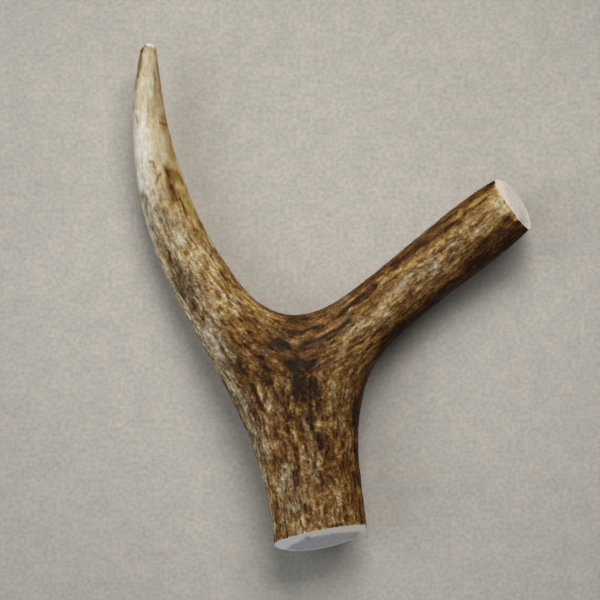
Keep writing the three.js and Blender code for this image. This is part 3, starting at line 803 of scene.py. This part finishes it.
    ((417, 258), (10, 5), -35, 0.02, 0.5, 0.4),
    ((478, 200), (14, 6), -35, 0.02, 0.5, 0.2),
    ((230, 298), (12, 10), -35, -0.02, 0.5, 0.0),
    ((185, 280), (10, 16), -30, 0.0, 0.6, -0.35),
    ((152, 218), (8, 18), -10, 0.03, 0.6, -0.3),
    ((458, 245), (16, 8), -35, -0.02, 0.6, -0.3),
    ((478, 228), (10, 6), -35, 0.0, 0.6, -0.2),
    # painted shade in the crotch
    ((300, 318), (22, 7), 5, -0.05, 0.6, 0.0),
    ((309, 375), (4, 3), 20, 0.09, 0.5, 0.1),
    ((303, 362), (3, 2.5), 0, 0.08, 0.5, 0.1),
    ((289, 366), (3, 3), 0, 0.06, 0.5, 0.1),
    ((312, 389), (3, 3), 0, 0.06, 0.5, 0.1),
    ((297, 378), (4, 8), -10, -0.05, 0.5, 0.0),
    ((366, 322), (8, 3), -35, -0.05, 0.5, 0.1),
    # painted shade in the crotch
    ((302, 326), (24, 10), 5, -0.035, 0.6, 0.35),
    ((166, 118), (5, 24), -12, -0.03, 0.6, 0.1),
    ((280, 505), (11, 26), 0, -0.02, 0.6, 0.1),
    ((252, 360), (14, 20), -20, -0.03, 0.6, 0.1),
    ((311, 383), (11, 13), 0, -0.035, 0.6, 0.1),
    ((478, 200), (14, 6), -35, -0.03, 0.6, -0.15),
    ((174, 186), (6, 12), -15, 0.025, 0.6, -0.1),
    ((418, 250), (14, 5), -35, -0.03, 0.6, 0.0),
    ((486, 259), (20, 7), -35, 0.03, 0.6, 0.2),
    ((458, 249), (14, 6), -35, -0.025, 0.6, -0.1),
    ((478, 229), (9, 6), -35, 0.0, 0.6, -0.15),
    ((222, 288), (10, 14), -35, -0.02, 0.6, 0.0),
    ((192, 215), (5, 12), -30, -0.02, 0.6, 0.1),
]


def paint(strokes, blobs):
    tone = {a: np.zeros((ROWS[a] + 1, R)) for a in ARMS}
    cut = {a: np.zeros((ROWS[a] + 1, R)) for a in ARMS}
    tint = {a: np.zeros((ROWS[a] + 1, R)) for a in ARMS}
    for a in ARMS:
        u = SU[a] + 1.1 * wob_u[a] + 0.5 * n_mid[a]
        v = SV[a] + 1.1 * wob_v[a] - 0.5 * n_mid[a]
        for pts, w, amount, depth, warm in strokes:
            best = np.full(u.shape, 1e9)
            for (x0, y0), (x1, y1) in zip(pts[:-1], pts[1:]):
                dx, dy = x1 - x0, y1 - y0
                q = np.clip(((u - x0) * dx + (v - y0) * dy) / (dx * dx + dy * dy), 0, 1)
                best = np.minimum(best, np.hypot(u - x0 - q * dx, v - y0 - q * dy))
            m = np.exp(-(best / w) ** 2) * UP[a]
            tone[a] += amount * m
            cut[a] += depth * m
            tint[a] += warm * m
        for (x, y), (rx, ry), deg, amount, soft, warm in blobs:
            c, s = math.cos(math.radians(deg)), math.sin(math.radians(deg))
            dx, dy = u - x, v - y
            e = np.sqrt(((dx * c + dy * s) / rx) ** 2 + ((-dx * s + dy * c) / ry) ** 2)
            m = smoothstep(-e, -1 - soft, -1 + soft) * UP[a]
            tone[a] += amount * m
            tint[a] += warm * m
    return weld(tone), weld(cut), weld(tint)


paint_tone, paint_cut, paint_hue = paint(STROKES, BLOBS)


# stain tone: 0 almost black, 0.5 brown, 1 ivory
def tone_of(a):
    streak = 0.038 * n_groove[a] + 0.048 * n_groove2[a] + 0.055 * n_fine[a] + 0.026 * n_mid[a] + 0.010 * n_ridge[a]
    streak = streak + 0.15 * (bead_val[a] - 0.5) + 0.11 * (smoothstep(bead_gap[a], 0.0, 0.35) - 0.7)
    mottle = 0.014 * n_spot[a] + 0.008 * n_patch[a]
    dash = smoothstep(-n_dash[a] - 0.25 * n_spot[a], 0.9, 1.7)
    deep = -0.08 * groove[a] - 0.07 * groove2[a] - 0.09 * dash
    if a == L:
        base = 0.425 + 0.03 * smoothstep(DIST[a], 25, 50)
    elif a == U:
        base = 0.42 + 0.07 * smoothstep(DIST[a], 8, 30)
    else:
        base = (0.40 + 0.15 * smoothstep(DIST[a], 8, 26) + 0.04 * smoothstep(DIST[a], 26, 46)
                + 0.07 * smoothstep(DIST[a] + 2 * n_spot[a], 50, 68) + 0.175 * smoothstep(DIST[a] + 3.5 * n_spot[a], 66, 84))
    k = (0.30 + 0.70 * rough[a]) * {L: 1.12, T: 0.94, U: 0.90}[a]
    return base + streak * k + mottle * k + deep * rough[a]


tone = combine(lambda a: tone_of(a))
for a in ARMS:
    tone[a] = tone[a] + paint_tone[a]
    if a != T:      # the saw left a torn, lighter edge of bark
        to_cut = DIST[a][-1:] - DIST[a]
        tone[a] = tone[a] + 0.09 * np.exp(-(to_cut / 0.55) ** 2)
    if a != T:      # no spot of the bark is as white as the ivory
        top = 0.70 if a == U else 0.74
        tone[a] = np.where(tone[a] > top, top + 0.5 * (tone[a] - top), tone[a])
    # painted shade: undersides are a little duller and darker, darkest under the right flanks, where the painted flank
    # shade runs on round
    tone[a] = tone[a] - 0.03 * (1 - UP[a])
    if a != T:
        turn = np.arange(R) / K if a == U else (R - np.arange(R)) / K
        flank_shade = smoothstep(turn, 0.42, 0.60) * (1 - smoothstep(turn + 0.06 * n_spot[a], 0.66, 0.98))
        tone[a] = tone[a] - (0.22 if a == U else 0.12) * flank_shade * (1 - 0.7 * UP[a])

# relief, inward, in millimetres
depth = combine(lambda a: rough[a] * (
    0.24 * groove[a] + 0.12 * groove2[a] - 0.07 * np.clip(n_ridge[a], -2, 2) - 0.10 * pearl[a]
    - 0.12 * smoothstep(bead_gap[a], 0.0, 0.45) - 0.035 * np.clip(n_fine[a], -2, 2)) + 0.02 * n_mid[a])
for a in ARMS:
    depth[a] = np.maximum(depth[a] + 0.11 + paint_cut[a], -0.18)

Q = {a: P[a] - N0[a] * depth[a][..., None] for a in ARMS}
# the last ring stays in the plane of the cut
for a in ARMS:
    normal, _ = cut_plane(a)
    centre = np.array(P[a][-1].mean(0))
    off = (Q[a][-1] - centre) @ normal
    Q[a][-1] -= off[:, None] * normal
# the blunt tip is worn to two shoulders, the left one broader
for (x0, y0), (nx, ny) in (((-51.70, 81.55), (-0.70, 0.714)), ((-47.25, 82.15), (0.62, 0.785))):
    h = math.hypot(nx, ny) * 1.06
    bevel = np.array([nx, ny, 0.30]) / math.hypot(h, 0.30)
    bevel /= np.linalg.norm(bevel)
    over = (Q[T] - np.array([x0 - CENTRE[0], y0 - CENTRE[1], 13.7])) @ bevel
    Q[T] = Q[T] - np.maximum(over, 0)[..., None] * bevel
for a in ARMS:
    Q[a][..., 2] = np.maximum(Q[a][..., 2], 0.0)     # never below the surface it lies on
weld(Q)
N1 = grid_normals(Q)

# ---------------------------------------------------------------------------
# 4. Meshes: one closed piece per arm, with its sawn face
# ---------------------------------------------------------------------------
# Edge between the dense rind and the spongy core of each sawn face, in plan units
CORE_EDGE = {
    L: ([281, 285, 292, 300, 310, 330, 350, 361, 367], [552, 549, 545, 541, 537.6, 533.6, 532, 532, 535]),
    U: ([176, 181, 190, 200, 206, 213, 219, 223, 232], [502.5, 503.5, 505, 508, 511, 515.5, 518.5, 519, 517]),
}


def core_mask(arm, p):
    s = (EYE - LEVEL) / (UNIT * (EYE - p[..., 2]))
    u, v = 300 + (p[..., 0] + CENTRE[0]) * s, 300 - (p[..., 1] + CENTRE[1]) * s
    u = u + 0.5 * np.sin(v * 0.9) + 0.3 * np.sin(u * 1.7)
    if arm == L:
        core = smoothstep(v - np.interp(u, *CORE_EDGE[L]) + 0.5 * np.sin(u * 0.55) * np.sin(u * 0.23 + 1), -1.2, 1.4)
        stain = np.exp(-((u - 307.3) / 3.2) ** 2 - ((v - 538.2) / 2.0) ** 2) * 0.85
        stain = stain + 0.35 * np.exp(-((u - 356) / 4.5) ** 2 - ((v - 537) / 2.5) ** 2)
    elif arm == U:
        core = smoothstep(u - np.interp(v, *CORE_EDGE[U]), -0.8, 1.0)
        stain = 0.45 * np.exp(-((u - 522) / 5.0) ** 2 - ((v - 221) / 6.5) ** 2)
    else:
        core = 0 * u
        stain = 0.12 + smoothstep(-u, -146.8, -145.2)
    cool = smoothstep(-u, -335, -300) if arm == L else 0 * u
    return core, stain, cool


def build(arm):
    n, m = ROWS[arm], CAP[arm]
    normal, _ = cut_plane(arm)
    q = Q[arm]
    rim = q[-1]
    centre = rim.mean(0)
    side_axis = np.cross(normal, [0, 0, 1.0])
    side_axis /= np.linalg.norm(side_axis)
    up_axis = np.cross(side_axis, normal)
    if up_axis[2] < 0:
        side_axis, up_axis = -side_axis, -up_axis
    rel = rim - centre
    half_w = np.abs(rel @ side_axis).max()
    half_h = np.abs(rel @ up_axis).max()
    # rim is set back a hair so the saw edge catches light
    verts = [q.reshape(-1, 3).copy()]
    edge_noise = n_mid[arm][-2] + 0.6 * n_pearl[arm][-2]
    chip = (0.0 if arm == T else 0.19) * smoothstep(edge_noise, 0.0, 2.2) + 0.08
    for j in range(10):
        back = max(0.0, 1 - 0.26 * j / 2.4)
        verts[0][(n - j) * R:(n - j + 1) * R] -= normal * (chip * back)[:, None]
    radial = np.array([1 - 0.14 / min(half_w, half_h)] + [1 - (j / m) ** 1.0 for j in range(1, m)])
    radial[1:] = np.minimum(radial[1:], radial[0] - 0.01)
    cap_xy, cap_core, cap_pts = [], [], []
    cap_stain, cap_cool = [], []
    for r in list(radial) + [0.0]:
        inset = 0 if arm == T or r < radial[0] else 0.5 * (chip - 0.08) / np.hypot(*(rel @ np.c_[side_axis, up_axis]).T)
        pts = centre + rel * (r - inset)[:, None] if np.ndim(inset) else (centre + rel * r if r > 0 else centre[None])
        x, y = ((pts - centre) @ side_axis), ((pts - centre) @ up_axis)
        core, stain, cool = core_mask(arm, pts)
        if arm != T:     # the dense rind runs all the way round, thinnest underneath
            gap = (1 - r) * np.hypot(*((rel if r > 0 else rel[:1]) @ np.c_[side_axis, up_axis]).T)
            gap = gap if r > 0 else gap + 9.0
            core = core * (0.42 + 0.58 * smoothstep(gap + 0.12 * np.sin(3 * x) + 0.10 * np.sin(2.6 * y + 1), 0.30, 1.70))
        # saw marks and a slightly sunken core
        sink = 0.05 * core + 0.02 * np.sin(y * 5.2 + 0.4 * np.sin(x * 0.9)) + 0.015 * np.sin(x * 1.7 + y * 2.3)
        pts = pts - normal * sink[:, None] * (1 if r < radial[0] else 0)
        cap_pts.append(pts)
        cap_xy.append(np.c_[x, y])
        cap_core.append(core)
        cap_stain.append(stain)
        cap_cool.append(cool)
    verts.append(np.concatenate(cap_pts))
    base = (n + 1) * R
    hub = base + m * R
    spine0 = hub + 1
    f0, b0 = q[0, 0], q[0, K]
    spine = np.array([f0 + (b0 - f0) * (0.5 - 0.5 * math.cos(math.pi * k / K)) for k in range(1, K)])
    verts.append(spine)
    verts = np.concatenate(verts) * 0.001

    k = np.arange(R)
    k2 = (k + 1) % R
    faces, uvs, loop_n, mats = [], [], [], []
    per = WIDTH[arm].max() * R
    length = DIST[arm].max()
    sc = 0.97 / max(length, per + 2 * half_w + 4)

    def uv_side(j, c):
        return np.stack(np.broadcast_arrays(c * WIDTH[arm].max() * sc, (j / n) * length * sc), -1) + 0.01

    nv = N1[arm].reshape(-1, 3)
    rows_j = np.arange(n)[:, None]
    quads = np.stack([rows_j * R + k, (rows_j + 1) * R + k, (rows_j + 1) * R + k2, rows_j * R + k2], -1).reshape(-1, 4)
    quv = np.stack([uv_side(rows_j, k[None] + 0.0), uv_side(rows_j + 1, k[None] + 0.0), uv_side(rows_j + 1, k[None] + 1.0), uv_side(rows_j, k[None] + 1.0)], 2).reshape(-1, 4, 2)
    qn = nv[quads]
    # cap quads: ring j to j + 1
    ring_start = [n * R] + [base + j * R for j in range(m)]
    cq, cuv, cn = [], [], []
    ctr = np.array([per * sc + (half_w + 2) * sc + 0.01, (max(half_w, half_h) + 2) * sc + 0.01])
    xy0 = np.c_[(rim - centre) @ side_axis, (rim - centre) @ up_axis]
    ring_xy = [xy0] + cap_xy[:-1]
    cap_n = np.tile(normal, (R, 1))
    rim_n = nv[n * R:(n + 1) * R]
    mix_n = rim_n * 0.35 + normal * 0.65
    mix_n /= np.linalg.norm(mix_n, axis=1, keepdims=True)
    for j in range(m):
        a, b = ring_start[j], ring_start[j + 1]
        cq.append(np.stack([a + k, b + k, b + k2, a + k2], -1))
        A, B = ring_xy[j] * sc + ctr, ring_xy[j + 1] * sc + ctr
        cuv.append(np.stack([A, B, np.roll(B, -1, 0), np.roll(A, -1, 0)], 1))
        na = mix_n if j == 0 else cap_n
        cn.append(np.stack([na, cap_n, np.roll(cap_n, -1, 0), np.roll(na, -1, 0)], 1))
    cq, cuv, cn = np.concatenate(cq), np.concatenate(cuv), np.concatenate(cn)
    # centre fan
    last = ring_start[-1]
    tri = np.stack([last + k, np.full(R, hub), last + k2], -1)
    A = ring_xy[-1] * sc + ctr
    tuv = np.stack([A, np.tile(ctr, (R, 1)), np.roll(A, -1, 0)], 1)
    tn = np.tile(normal, (R, 3, 1))
    # upright walls inside the fork
    walls, wn = [], []
    spine_id = [0] + list(range(spine0, spine0 + K - 1)) + [K]
    wc = verts[:base].mean(0)
    for kk_ in range(K):
        for side in (0, 1):
            a1, b1 = (kk_, kk_ + 1) if side == 0 else ((R - kk_) % R, R - kk_ - 1)
            s1, e1 = spine_id[kk_], spine_id[kk_ + 1]
            for t3 in ((s1, a1, b1), (s1, b1, e1)) if side == 0 else ((s1, b1, a1), (s1, e1, b1)):
                if len(set(t3)) == 3:
                    walls.append(t3)
    walls = np.array(walls)
    wnn = np.cross(verts[walls[:, 1]] - verts[walls[:, 0]], verts[walls[:, 2]] - verts[walls[:, 0]])
    wnn /= np.maximum(np.linalg.norm(wnn, axis=1, keepdims=True), 1e-15)

    # winding
    v = verts
    fn = np.cross(v[quads[:, 1]] - v[quads[:, 0]], v[quads[:, 3]] - v[quads[:, 0]])
    flip = (fn * qn[:, 0]).sum() < 0
    if flip:
        quads, quv, qn = quads[:, ::-1], quv[:, ::-1], qn[:, ::-1]
        cq, cuv, cn = cq[:, ::-1], cuv[:, ::-1], cn[:, ::-1]
        tri, tuv, tn = tri[:, ::-1], tuv[:, ::-1], tn[:, ::-1]
        walls = walls[:, ::-1]
        wnn = -wnn
    wuv = np.tile(np.array([[[0.99, 0.99], [0.995, 0.99], [0.99, 0.995]]]), (len(walls), 1, 1))
    wn = np.repeat(wnn[:, None, :], 3, 1)

    loops = np.concatenate([quads.ravel(), cq.ravel(), tri.ravel(), walls.ravel()]).astype(np.int32)
    totals = np.concatenate([np.full(len(quads), 4), np.full(len(cq), 4), np.full(len(tri), 3), np.full(len(walls), 3)])
    starts = np.r_[0, np.cumsum(totals)[:-1]].astype(np.int32)
    mat = np.concatenate([np.zeros(len(quads)), np.ones(len(cq)), np.ones(len(tri)), np.zeros(len(walls))]).astype(np.int32)
    uv = np.concatenate([quv.reshape(-1, 2), cuv.reshape(-1, 2), tuv.reshape(-1, 2), wuv.reshape(-1, 2)])
    ln = np.concatenate([qn.reshape(-1, 3), cn.reshape(-1, 3), tn.reshape(-1, 3), wn.reshape(-1, 3)])

    me = bpy.data.meshes.new("antler_" + arm)
    me.vertices.add(len(verts))
    me.vertices.foreach_set("co", verts.astype(np.float32).ravel())
    me.loops.add(len(loops))
    me.loops.foreach_set("vertex_index", loops)
    me.polygons.add(len(totals))
    me.polygons.foreach_set("loop_start", starts)
    me.polygons.foreach_set("material_index", mat)
    me.update(calc_edges=True)
    me.validate(verbose=False)
    me.polygons.foreach_set("use_smooth", np.ones(len(totals), bool))
    layer = me.uv_layers.new(name="OFBake")
    layer.data.foreach_set("uv", uv.astype(np.float32).ravel())

    def attribute(name, side, cap):
        at = me.attributes.new(name, "FLOAT", "POINT")
        data = np.zeros(len(verts), np.float32)
        data[:base] = side.ravel()
        data[base:hub + 1] = cap
        at.data.foreach_set("value", data)

    cores, stains = np.concatenate(cap_core), np.concatenate(cap_stain)
    zero = np.zeros(hub + 1 - base)
    attribute("tone", tone[arm], zero + 0.8)
    attribute("hue", hue[arm], zero + (1.0 if arm == U else 0.0))
    attribute("bark", rough[arm], np.concatenate(cap_cool))
    attribute("pit", pit[arm], stains)
    attribute("core", np.zeros_like(tone[arm]), cores)
    me.normals_split_custom_set(ln.astype(np.float32))
    ob = bpy.data.objects.new("antler_" + arm, me)
    bpy.context.scene.collection.objects.link(ob)
    return ob


hue = combine(lambda a: (-0.12 * smoothstep(DIST[a], 14, 24) * (1 - smoothstep(DIST[a], 48, 62)) if a == T else 0.0) + 0.14 * n_patch[a] + 0.16 * n_spot[a] + 0.2 * n_mid[a] + np.clip(paint_hue[a], -1, 1)
              + (0.0 if a == T else 0.7) * np.exp(-((DIST[a][-1:] - DIST[a]) / 0.7) ** 2))
pit = combine(lambda a: groove[a] * rough[a])

weld(hue)


# ---------------------------------------------------------------------------
# 5. Materials
# ---------------------------------------------------------------------------
def srgb(r, g, b):
    f = lambda c: c / 12.92 if c <= 0.04045 else ((c + 0.055) / 1.055) ** 2.4
    return (f(r / 255), f(g / 255), f(b / 255), 1.0)


class Nodes:
    def __init__(self, name):
        self.mat = bpy.data.materials.new(name)
        self.mat.use_nodes = True
        self.t = self.mat.node_tree
        self.bsdf = self.t.nodes["Principled BSDF"]

    def add(self, kind, **props):
        n = self.t.nodes.new(kind)
        for key, val in props.items():
            setattr(n, key, val)
        return n

    def link(self, a, b):
        self.t.links.new(a, b)

    def value(self, sock, v):
        if isinstance(v, (int, float)):
            sock.default_value = v
        else:
            self.link(v, sock)

    def math(self, op, a, b=0.0, clamp=False):
        n = self.add("ShaderNodeMath", operation=op, use_clamp=clamp)
        self.value(n.inputs[0], a)
        self.value(n.inputs[1], b)
        return n.outputs[0]

    def madd(self, a, m, c):
        n = self.add("ShaderNodeMath", operation="MULTIPLY_ADD")
        self.value(n.inputs[0], a)
        self.value(n.inputs[1], m)
        self.value(n.inputs[2], c)
        return n.outputs[0]

    def attr(self, name):
        return self.add("ShaderNodeAttribute", attribute_name=name).outputs["Fac"]

    def noise(self, scale, detail=3.0, rough=0.55, vector=None, distortion=0.0):
        n = self.add("ShaderNodeTexNoise")
        n.inputs["Scale"].default_value = scale
        n.inputs["Detail"].default_value = detail
        n.inputs["Roughness"].default_value = rough
        n.inputs["Distortion"].default_value = distortion
        self.link(vector or self.coord(), n.inputs["Vector"])
        return n.outputs["Fac"]

    def coord(self):
        if not hasattr(self, "_c"):
            self._c = self.add("ShaderNodeTexCoord").outputs["Object"]
        return self._c

    def ramp(self, fac, stops, interpolation="LINEAR"):
        n = self.add("ShaderNodeValToRGB")
        n.color_ramp.interpolation = interpolation
        el = n.color_ramp.elements
        while len(el) > 1:
            el.remove(el[-1])
        el[0].position, el[0].color = stops[0]
        for p, c in stops[1:]:
            e = el.new(p)
            e.color = c
        self.link(fac, n.inputs["Fac"])
        return n.outputs["Color"]

    def mix(self, fac, a, b, blend="MIX"):
        n = self.add("ShaderNodeMix", data_type="RGBA", blend_type=blend)
        self.value(n.inputs["Factor"], fac)
        for sock, v in ((n.inputs["A"], a), (n.inputs["B"], b)):
            if isinstance(v, tuple):
                sock.default_value = v
            else:
                self.link(v, sock)
        return n.outputs["Result"]


def bark_material():
    m = Nodes("antler_bark")
    tone_, hue_, bark_, pit_ = m.attr("tone"), m.attr("hue"), m.attr("bark"), m.attr("pit")
    speck = m.noise(2600.0, 4.0, 0.6)
    pebble = m.noise(1150.0, 2.0, 0.6)
    cloud = m.noise(420.0, 3.0, 0.6)
    # fine speckle matters most on the rough bark
    amp = m.madd(bark_, 0.30, 0.05)
    t = m.math("ADD", tone_, m.math("MULTIPLY", m.math("SUBTRACT", speck, 0.5), amp))
    t = m.math("ADD", t, m.math("MULTIPLY", m.math("SUBTRACT", pebble, 0.5), m.madd(bark_, 0.40, 0.04)))
    t = m.math("ADD", t, m.math("MULTIPLY", m.math("SUBTRACT", cloud, 0.5), 0.10), clamp=True)
    stops = (0.0, 0.12, 0.25, 0.38, 0.50, 0.62, 0.74, 0.86, 1.0)

    def bark_ramp(*colours):
        return m.ramp(t, [(p, srgb(*c)) for p, c in zip(stops, colours)])

    plain = bark_ramp((36, 19, 3), (58, 31, 4), (81, 48, 11), (104, 69, 28), (128, 94, 48), (153, 125, 80), (178, 157, 117), (200, 188, 158), (226, 221, 206))
    golden = bark_ramp((39, 19, 2), (62, 34, 3), (88, 54, 10), (116, 78, 27), (140, 106, 51), (166, 135, 78), (188, 163, 106), (207, 189, 143), (226, 216, 188))
    grey = bark_ramp((37, 24, 9), (56, 39, 19), (79, 59, 34), (104, 83, 55), (127, 110, 82), (154, 138, 111), (181, 170, 148), (207, 201, 188), (232, 230, 224))
    h = m.madd(m.math("SUBTRACT", cloud, 0.5), 0.5, hue_)
    warm_f = m.math("MAXIMUM", h, 0.0, clamp=True)
    cool_f = m.math("MAXIMUM", m.math("MULTIPLY", h, -1.0), 0.0, clamp=True)
    col = m.mix(cool_f, m.mix(warm_f, plain, golden), grey)
    # olive against reddish brown, from bead to bead
    tint = m.noise(800.0, 2.0, 0.6, distortion=0.6)
    col = m.mix(bark_, col, m.mix(1.0, col, m.ramp(tint, [(0.32, (0.90, 1.02, 0.90, 1)), (0.5, (1, 1, 1, 1)), (0.68, (1.10, 0.98, 1.08, 1))]), "MULTIPLY"))
    m.link(col, m.bsdf.inputs["Base Color"])
    # worn ivory is smoother than bark; pits stay dull
    rgh = m.madd(bark_, 0.14, 0.48)
    rgh = m.math("ADD", rgh, m.math("MULTIPLY", m.math("SUBTRACT", cloud, 0.5), 0.16))
    rgh = m.math("ADD", rgh, m.math("MULTIPLY", pit_, 0.14), clamp=True)
    m.link(rgh, m.bsdf.inputs["Roughness"])
    m.bsdf.inputs["Specular IOR Level"].default_value = 0.18
    bump = m.add("ShaderNodeBump")
    bump.inputs["Strength"].default_value = 0.55
    bump.inputs["Distance"].default_value = 0.00012
    hgt = m.math("MULTIPLY", speck, m.madd(bark_, 0.9, 0.10))
    m.link(hgt, bump.inputs["Height"])
    m.link(bump.outputs["Normal"], m.bsdf.inputs["Normal"])
    return m.mat


def sawn_material():
    m = Nodes("antler_sawn")
    core_ = m.attr("core")
    fine = m.noise(1500.0, 4.0, 0.62)
    cloud = m.noise(260.0, 3.0, 0.6)
    vor = m.add("ShaderNodeTexVoronoi", feature="F1")
    vor.inputs["Scale"].default_value = 1500.0
    vor.inputs["Randomness"].default_value = 1.0
    m.link(m.coord(), vor.inputs["Vector"])
    pore = m.ramp(vor.outputs["Distance"], [(0.18, (1, 1, 1, 1)), (0.42, (0, 0, 0, 1))])
    pore = m.math("MULTIPLY", pore, m.math("MULTIPLY", core_, m.ramp(cloud, [(0.35, (0.25, 0.25, 0.25, 1)), (0.6, (1, 1, 1, 1))])))
    rim = m.mix(fine, srgb(226, 218, 206), srgb(242, 236, 228))
    rim = m.mix(m.math("MULTIPLY", cloud, 0.35), rim, srgb(222, 200, 166))
    # the left of the beam's rind is greyer, the rest cream
    rim = m.mix(m.attr("bark"), rim, m.mix(fine, srgb(214, 217, 219), srgb(232, 235, 236)))
    # painted shade and light: the beam's face gets a darker, greyer heart and pores as if in shade, the branch's face a
    # lighter cream copy as if lit
    lit_branch_face = m.attr("hue")                    # 0 on the beam's face, 1 on the branch's
    heart = m.mix(lit_branch_face, m.mix(fine, srgb(160, 159, 160), srgb(190, 189, 189)), m.mix(fine, srgb(205, 196, 192), srgb(230, 221, 217)))
    patch = m.ramp(m.noise(330.0, 2.0, 0.5, distortion=0.8), [(0.36, (0.89, 0.89, 0.905, 1)), (0.5, (1, 1, 1, 1)), (0.64, (1.06, 1.05, 1.03, 1))])
    heart = m.mix(1.0, heart, patch, "MULTIPLY")
    heart = m.mix(pore, heart, m.mix(lit_branch_face, srgb(139, 138, 140), srgb(178, 168, 166)))
    edge = m.madd(m.math("SUBTRACT", fine, 0.5), 0.35, core_)
    edge.node.use_clamp = True
    col = m.mix(edge, rim, heart)
    stained = m.math("MULTIPLY", m.attr("pit"), m.madd(cloud, 1.2, 0.4), clamp=True)
    col = m.mix(stained, col, m.mix(lit_branch_face, srgb(118, 82, 44), srgb(146, 132, 138)))
    m.link(col, m.bsdf.inputs["Base Color"])
    m.bsdf.inputs["Roughness"].default_value = 0.68
    m.bsdf.inputs["Specular IOR Level"].default_value = 0.35
    bump = m.add("ShaderNodeBump")
    bump.inputs["Strength"].default_value = 0.6
    bump.inputs["Distance"].default_value = 0.00025
    hgt = m.math("SUBTRACT", m.math("MULTIPLY", fine, 0.35), pore)
    m.link(hgt, bump.inputs["Height"])
    m.link(bump.outputs["Normal"], m.bsdf.inputs["Normal"])
    return m.mat


bark, sawn = bark_material(), sawn_material()
for arm in ARMS:
    ob = build(arm)
    ob.data.materials.append(bark)
    ob.data.materials.append(sawn)
    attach(ob, "root")
    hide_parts(arm)

# ---------------------------------------------------------------------------
# 6. Floor, light and camera
# ---------------------------------------------------------------------------
fm = Nodes("floor")
soft = fm.noise(26.0, 4.0, 0.6)
grain = fm.noise(700.0, 3.0, 0.65)
blotch = fm.noise(150.0, 4.0, 0.6)
fcol = fm.mix(soft, srgb(186, 181, 173), srgb(198, 193, 184))
fcol = fm.mix(1.0, fcol, fm.ramp(grain, [(0.30, (0.86, 0.86, 0.86, 1)), (0.5, (1, 1, 1, 1)), (0.70, (1.12, 1.12, 1.12, 1))]), "MULTIPLY")
fcol = fm.mix(1.0, fcol, fm.ramp(blotch, [(0.30, (0.93, 0.95, 0.95, 1)), (0.5, (1, 1, 1, 1)), (0.70, (1.08, 1.05, 1.05, 1))]), "MULTIPLY")
# painted light falloff: the floor is painted a little darker away from the middle, as if less lit there
split = fm.add("ShaderNodeSeparateXYZ")
fm.link(fm.coord(), split.inputs[0])
r2 = fm.math("ADD", fm.math("POWER", fm.math("ADD", split.outputs[0], 0.010), 2.0), fm.math("POWER", split.outputs[1], 2.0))
fcol = fm.mix(1.0, fcol, fm.ramp(fm.math("MULTIPLY", r2, 50.0), [(0.0, (1, 1, 1, 1)), (1.0, (0.80, 0.80, 0.80, 1))]), "MULTIPLY")
fm.link(fcol, fm.bsdf.inputs["Base Color"])
fm.bsdf.inputs["Roughness"].default_value = 0.9
fm.bsdf.inputs["Specular IOR Level"].default_value = 0.2
bpy.ops.mesh.primitive_plane_add(size=4.0, location=(0, 0, 0))
floor = bpy.context.object
floor.name = "floor"
floor.data.materials.append(fm.mat)


def area(name, loc, size, energy, color, target=(0, 0, 0.01), size_y=None):
    d = bpy.data.lights.new(name, "AREA")
    d.shape = "RECTANGLE" if size_y else "SQUARE"
    d.size = size
    if size_y:
        d.size_y = size_y
    d.energy = energy
    d.color = color
    o = bpy.data.objects.new(name, d)
    o.location = loc
    from mathutils import Vector
    v = Vector(target) - Vector(loc)
    o.rotation_euler = v.to_track_quat("-Z", "Y").to_euler()
    bpy.context.scene.collection.objects.link(o)
    return o


def sky(name, azimuth, height, size, energy, color):
    a, e, d = math.radians(azimuth), math.radians(height), 1.3
    return area(name, (d * math.cos(e) * math.cos(a), d * math.cos(e) * math.sin(a), d * math.sin(e)), size, energy, color)


sky("key", 88, 49, 0.46, 8.0, (1.0, 0.985, 0.955))
sky("key_low", 90, 31, 0.42, 2.8, (1.0, 0.985, 0.955))
sky("key_right", 60, 46, 0.46, 5.3, (1.0, 0.985, 0.955))
sky("left", 180, 33, 0.5, 3.1, (0.93, 0.97, 1.0))
sky("back_left", 150, 48, 0.5, 1.6, (0.96, 0.98, 1.0))
sky("low_left", 210, 46, 0.5, 1.5, (0.93, 0.97, 1.0))
sky("front_right", 330, 62, 0.5, 0.65, (0.97, 0.98, 1.0))
sky("low_front", 252, 5, 0.22, 5.6, (0.90, 0.94, 1.0))
world = bpy.data.worlds.new("world")
bpy.context.scene.world = world
world.use_nodes = True
world.node_tree.nodes["Background"].inputs["Color"].default_value = (0.95, 0.97, 1.0, 1)
world.node_tree.nodes["Background"].inputs["Strength"].default_value = 0.012

cam_data = bpy.data.cameras.new("camera")
cam = bpy.data.objects.new("camera", cam_data)
bpy.context.scene.collection.objects.link(cam)
cam.location = (-CENTRE[0] * 0.001, -CENTRE[1] * 0.001, EYE * 0.001)
cam.rotation_euler = (0, 0, 0)
cam_data.sensor_width = 36.0
cam_data.sensor_fit = "HORIZONTAL"
cam_data.lens = 36.0 * (EYE - LEVEL) / (600 * UNIT)
cam_data.clip_start = 0.01
cam_data.clip_end = 20
bpy.context.scene.camera = cam
bpy.context.scene.view_settings.view_transform = "Standard"

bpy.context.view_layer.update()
